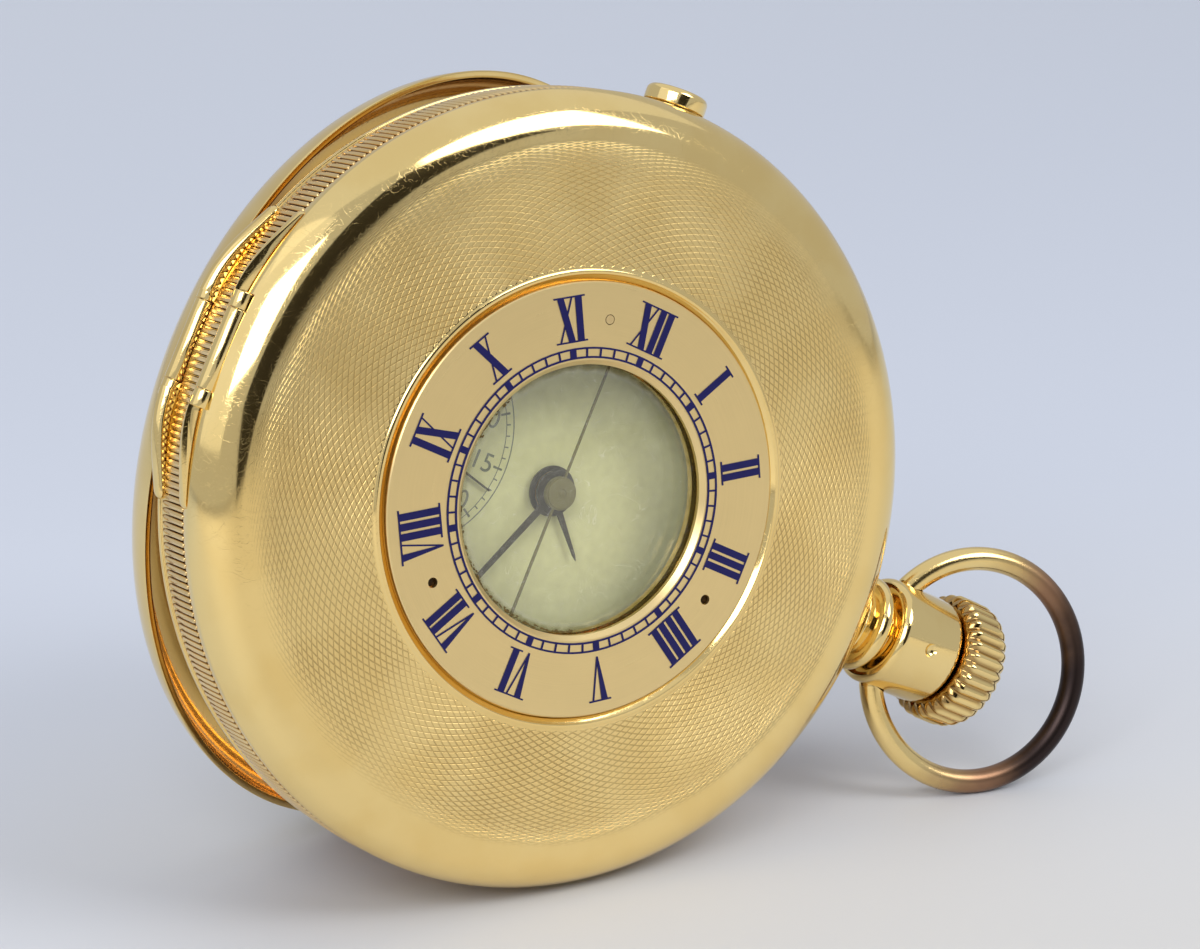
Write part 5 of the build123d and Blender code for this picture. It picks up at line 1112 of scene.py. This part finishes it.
def seconds_figures():
    """Figures of the small seconds dial."""
    for count in range(12):
        letters = bpy.data.curves.new("figures", "FONT")
        letters.body = str(5 * count or 60)
        letters.size = 1.7
        letters.align_x = "CENTER"
        letters.align_y = "CENTER"
        letters.extrude = 0.006
        source = bpy.data.objects.new("figures", letters)
        mesh = bmesh.new()
        mesh.from_mesh(source.to_mesh())
        bpy.data.objects.remove(source)
        angle = math.radians(90 - 30 * count)
        place = (seconds_x + 5.3 * math.cos(angle), 5.3 * math.sin(angle), dial_face + 0.007)
        mesh.transform(Matrix.Translation(place))
        fitted(mesh, f"seconds_figure_{5 * count or 60}", "case", dial_black, watch)


def hub_cap():
    """Cap of the long seconds hand, with a dimple."""
    cap_radius, cap_foot, cap_shoulder = 0.98, 0.5, 0.84
    lathe = Turning(0, cap_foot)
    lathe.to(cap_radius, cap_foot)
    lathe.to(cap_radius, cap_shoulder)
    lathe.bend(0.9, cap_shoulder, 90, 5)
    lathe.to(0.32, 0.92)
    lathe.to(0.28, 0.86)
    lathe.to(0.16, 0.86)
    lathe.to(0.12, 0.9)
    lathe.to(0, 0.91)
    fitted(lathe.closed().spun(64), "seconds_hub_cap", "centre_seconds", boss_metal, watch)


def window_dirt():
    """Crumbs of dirt caught where the glass meets the cover."""
    chance = random.Random(11)
    mesh = bmesh.new()
    for crumb in range(170):
        first, last = (196, 292) if crumb % 5 else (150, 172)
        angle = math.radians(chance.uniform(first, last))
        radius = 8.3 - abs(chance.gauss(0, 0.09))
        size = chance.uniform(0.05, 0.11)
        made = bmesh.ops.create_icosphere(mesh, subdivisions=1, radius=size)["verts"]
        for vertex in made:
            vertex.co *= chance.uniform(0.75, 1.25)
        place = (radius * math.cos(angle), radius * math.sin(angle), 3.09)
        turn = Matrix.Rotation(angle, 4, "Z") @ Matrix.Diagonal((0.7, 1.5, 0.55, 1))
        bmesh.ops.transform(mesh, matrix=Matrix.Translation(place) @ turn, verts=made)
    fitted(mesh, "window_edge_dirt", "front_cover", grime, watch)


dial_printing()
seconds_figures()
hub_cap()
window_dirt()
front_cover()
back_cover()
band()
reeding()
hinges()
pendant()
crown()
bow()
push_piece()
domed_glass(
    "window_pane",
    "front_cover",
    window_glass,
    radius=9.2,
    foot=2.548,
    thickness=0.5,
    dome=0.5,
    flat=0.85,
    stands_for="window_crystal",
)
domed_glass(
    "dial_pane",
    "case",
    dial_glass,
    radius=dial_glass_radius,
    foot=1.15,
    thickness=0.6,
    dome=0.15,
    flat=1.2,
    stands_for="dial_crystal",
)


# Camera at the photograph's place
eye = Vector((-0.106895, -0.186271, 0.084247))
right = Vector((0.864418, -0.502743, 0.004831))
down = Vector((-0.134261, -0.240094, -0.961423))
ahead = Vector((0.484517, 0.830425, -0.275044))
camera_data = bpy.data.cameras.new("camera")
camera_data.sensor_width = 36
camera_data.lens = 102
camera_data.clip_start = 0.01
camera = bpy.data.objects.new("camera", camera_data)
camera.matrix_world = Matrix.Translation(eye) @ Matrix((right, -down, -ahead)).transposed().to_4x4()
bpy.context.scene.collection.objects.link(camera)
bpy.context.scene.camera = camera

# Floor, lamps and room
ground = bmesh.new()
bmesh.ops.create_grid(ground, x_segments=1, y_segments=1, size=3)
ground_data = bpy.data.meshes.new("floor")
ground.to_mesh(ground_data)
floor = bpy.data.objects.new("floor", ground_data)
floor.location = (0, 0, cad_low.z - 0.00002)
bpy.context.scene.collection.objects.link(floor)
paper = Finish("pale_paper", Matrix(), (0.66, 0.69, 0.76), 0.0, 0.6)
far = paper.step(paper.parts()[1], -110.0, 60.0)
farthest = paper.step(paper.parts()[1], 80.0, 520.0)
behind = paper.blended(farthest, (0.64, 0.68, 0.77), (0.76, 0.80, 0.88))
paper.paint(paper.blended(far, (0.68, 0.65, 0.59), behind))
ground_data.materials.append(paper.material)

# Dark board behind the camera, for the dark reflection on the shoulder of the lid
board_way = Vector((0.101, -0.961, 0.259))
board_side = Vector((0.684, 0.256, 0.683))
board_across = board_way.cross(board_side)
board_mesh = bmesh.new()
bmesh.ops.create_grid(board_mesh, x_segments=1, y_segments=1, size=1)
bmesh.ops.scale(board_mesh, verts=board_mesh.verts[:], vec=(0.26, 0.19, 1))
board_data = bpy.data.meshes.new("dark_board")
board_mesh.to_mesh(board_data)
board = bpy.data.objects.new("dark_board", board_data)
turn = Matrix((board_side, board_across, board_way)).transposed().to_4x4()
board_place = Vector((-0.007, -0.01, 0.03)) + board_way * 0.65 + board_across * 0.05
board.matrix_world = Matrix.Translation(board_place) @ turn
board.visible_camera = False
bpy.context.scene.collection.objects.link(board)
board_paint = Finish("dark_cloth", Matrix(), (0.02, 0.018, 0.012), 0.0, 0.9)
board_paint.paint(board_paint.blended(board_paint.noise(0.01), (0.03, 0.026, 0.016), (0.012, 0.01, 0.008)))
board_data.materials.append(board_paint.material)


def lamp(name, place, aim, width, height, power, colour=(1, 1, 1)):
    """Soft rectangular lamp that faces a point."""
    data = bpy.data.lights.new(name, "AREA")
    data.shape = "RECTANGLE"
    data.size = width
    data.size_y = height
    data.energy = power
    data.color = colour
    made = bpy.data.objects.new(name, data)
    made.location = place
    made.rotation_euler = (Vector(place) - Vector(aim)).to_track_quat("Z", "Y").to_euler()
    bpy.context.scene.collection.objects.link(made)
    return made


middle = (0, 0, 0.025)
lamp("window_light", (-0.55, -0.15, 0.45), middle, 0.7, 0.7, 0.6)
lamp("ceiling_light", (0.1, 0.1, 0.8), middle, 1.3, 1.3, 1.1)
lamp("front_light", (0.28, -0.48, 0.5), middle, 0.4, 0.35, 1.9)
lamp("near_light", (-0.40, -0.42, 0.42), middle, 0.4, 0.3, 1.9)

room = bpy.data.worlds.new("room")
bpy.context.scene.world = room
room.use_nodes = True
room.node_tree.nodes["Background"].inputs["Color"].default_value = (0.82, 0.85, 0.92, 1)
room.node_tree.nodes["Background"].inputs["Strength"].default_value = 0.62

bpy.context.scene.view_settings.view_transform = "Standard"
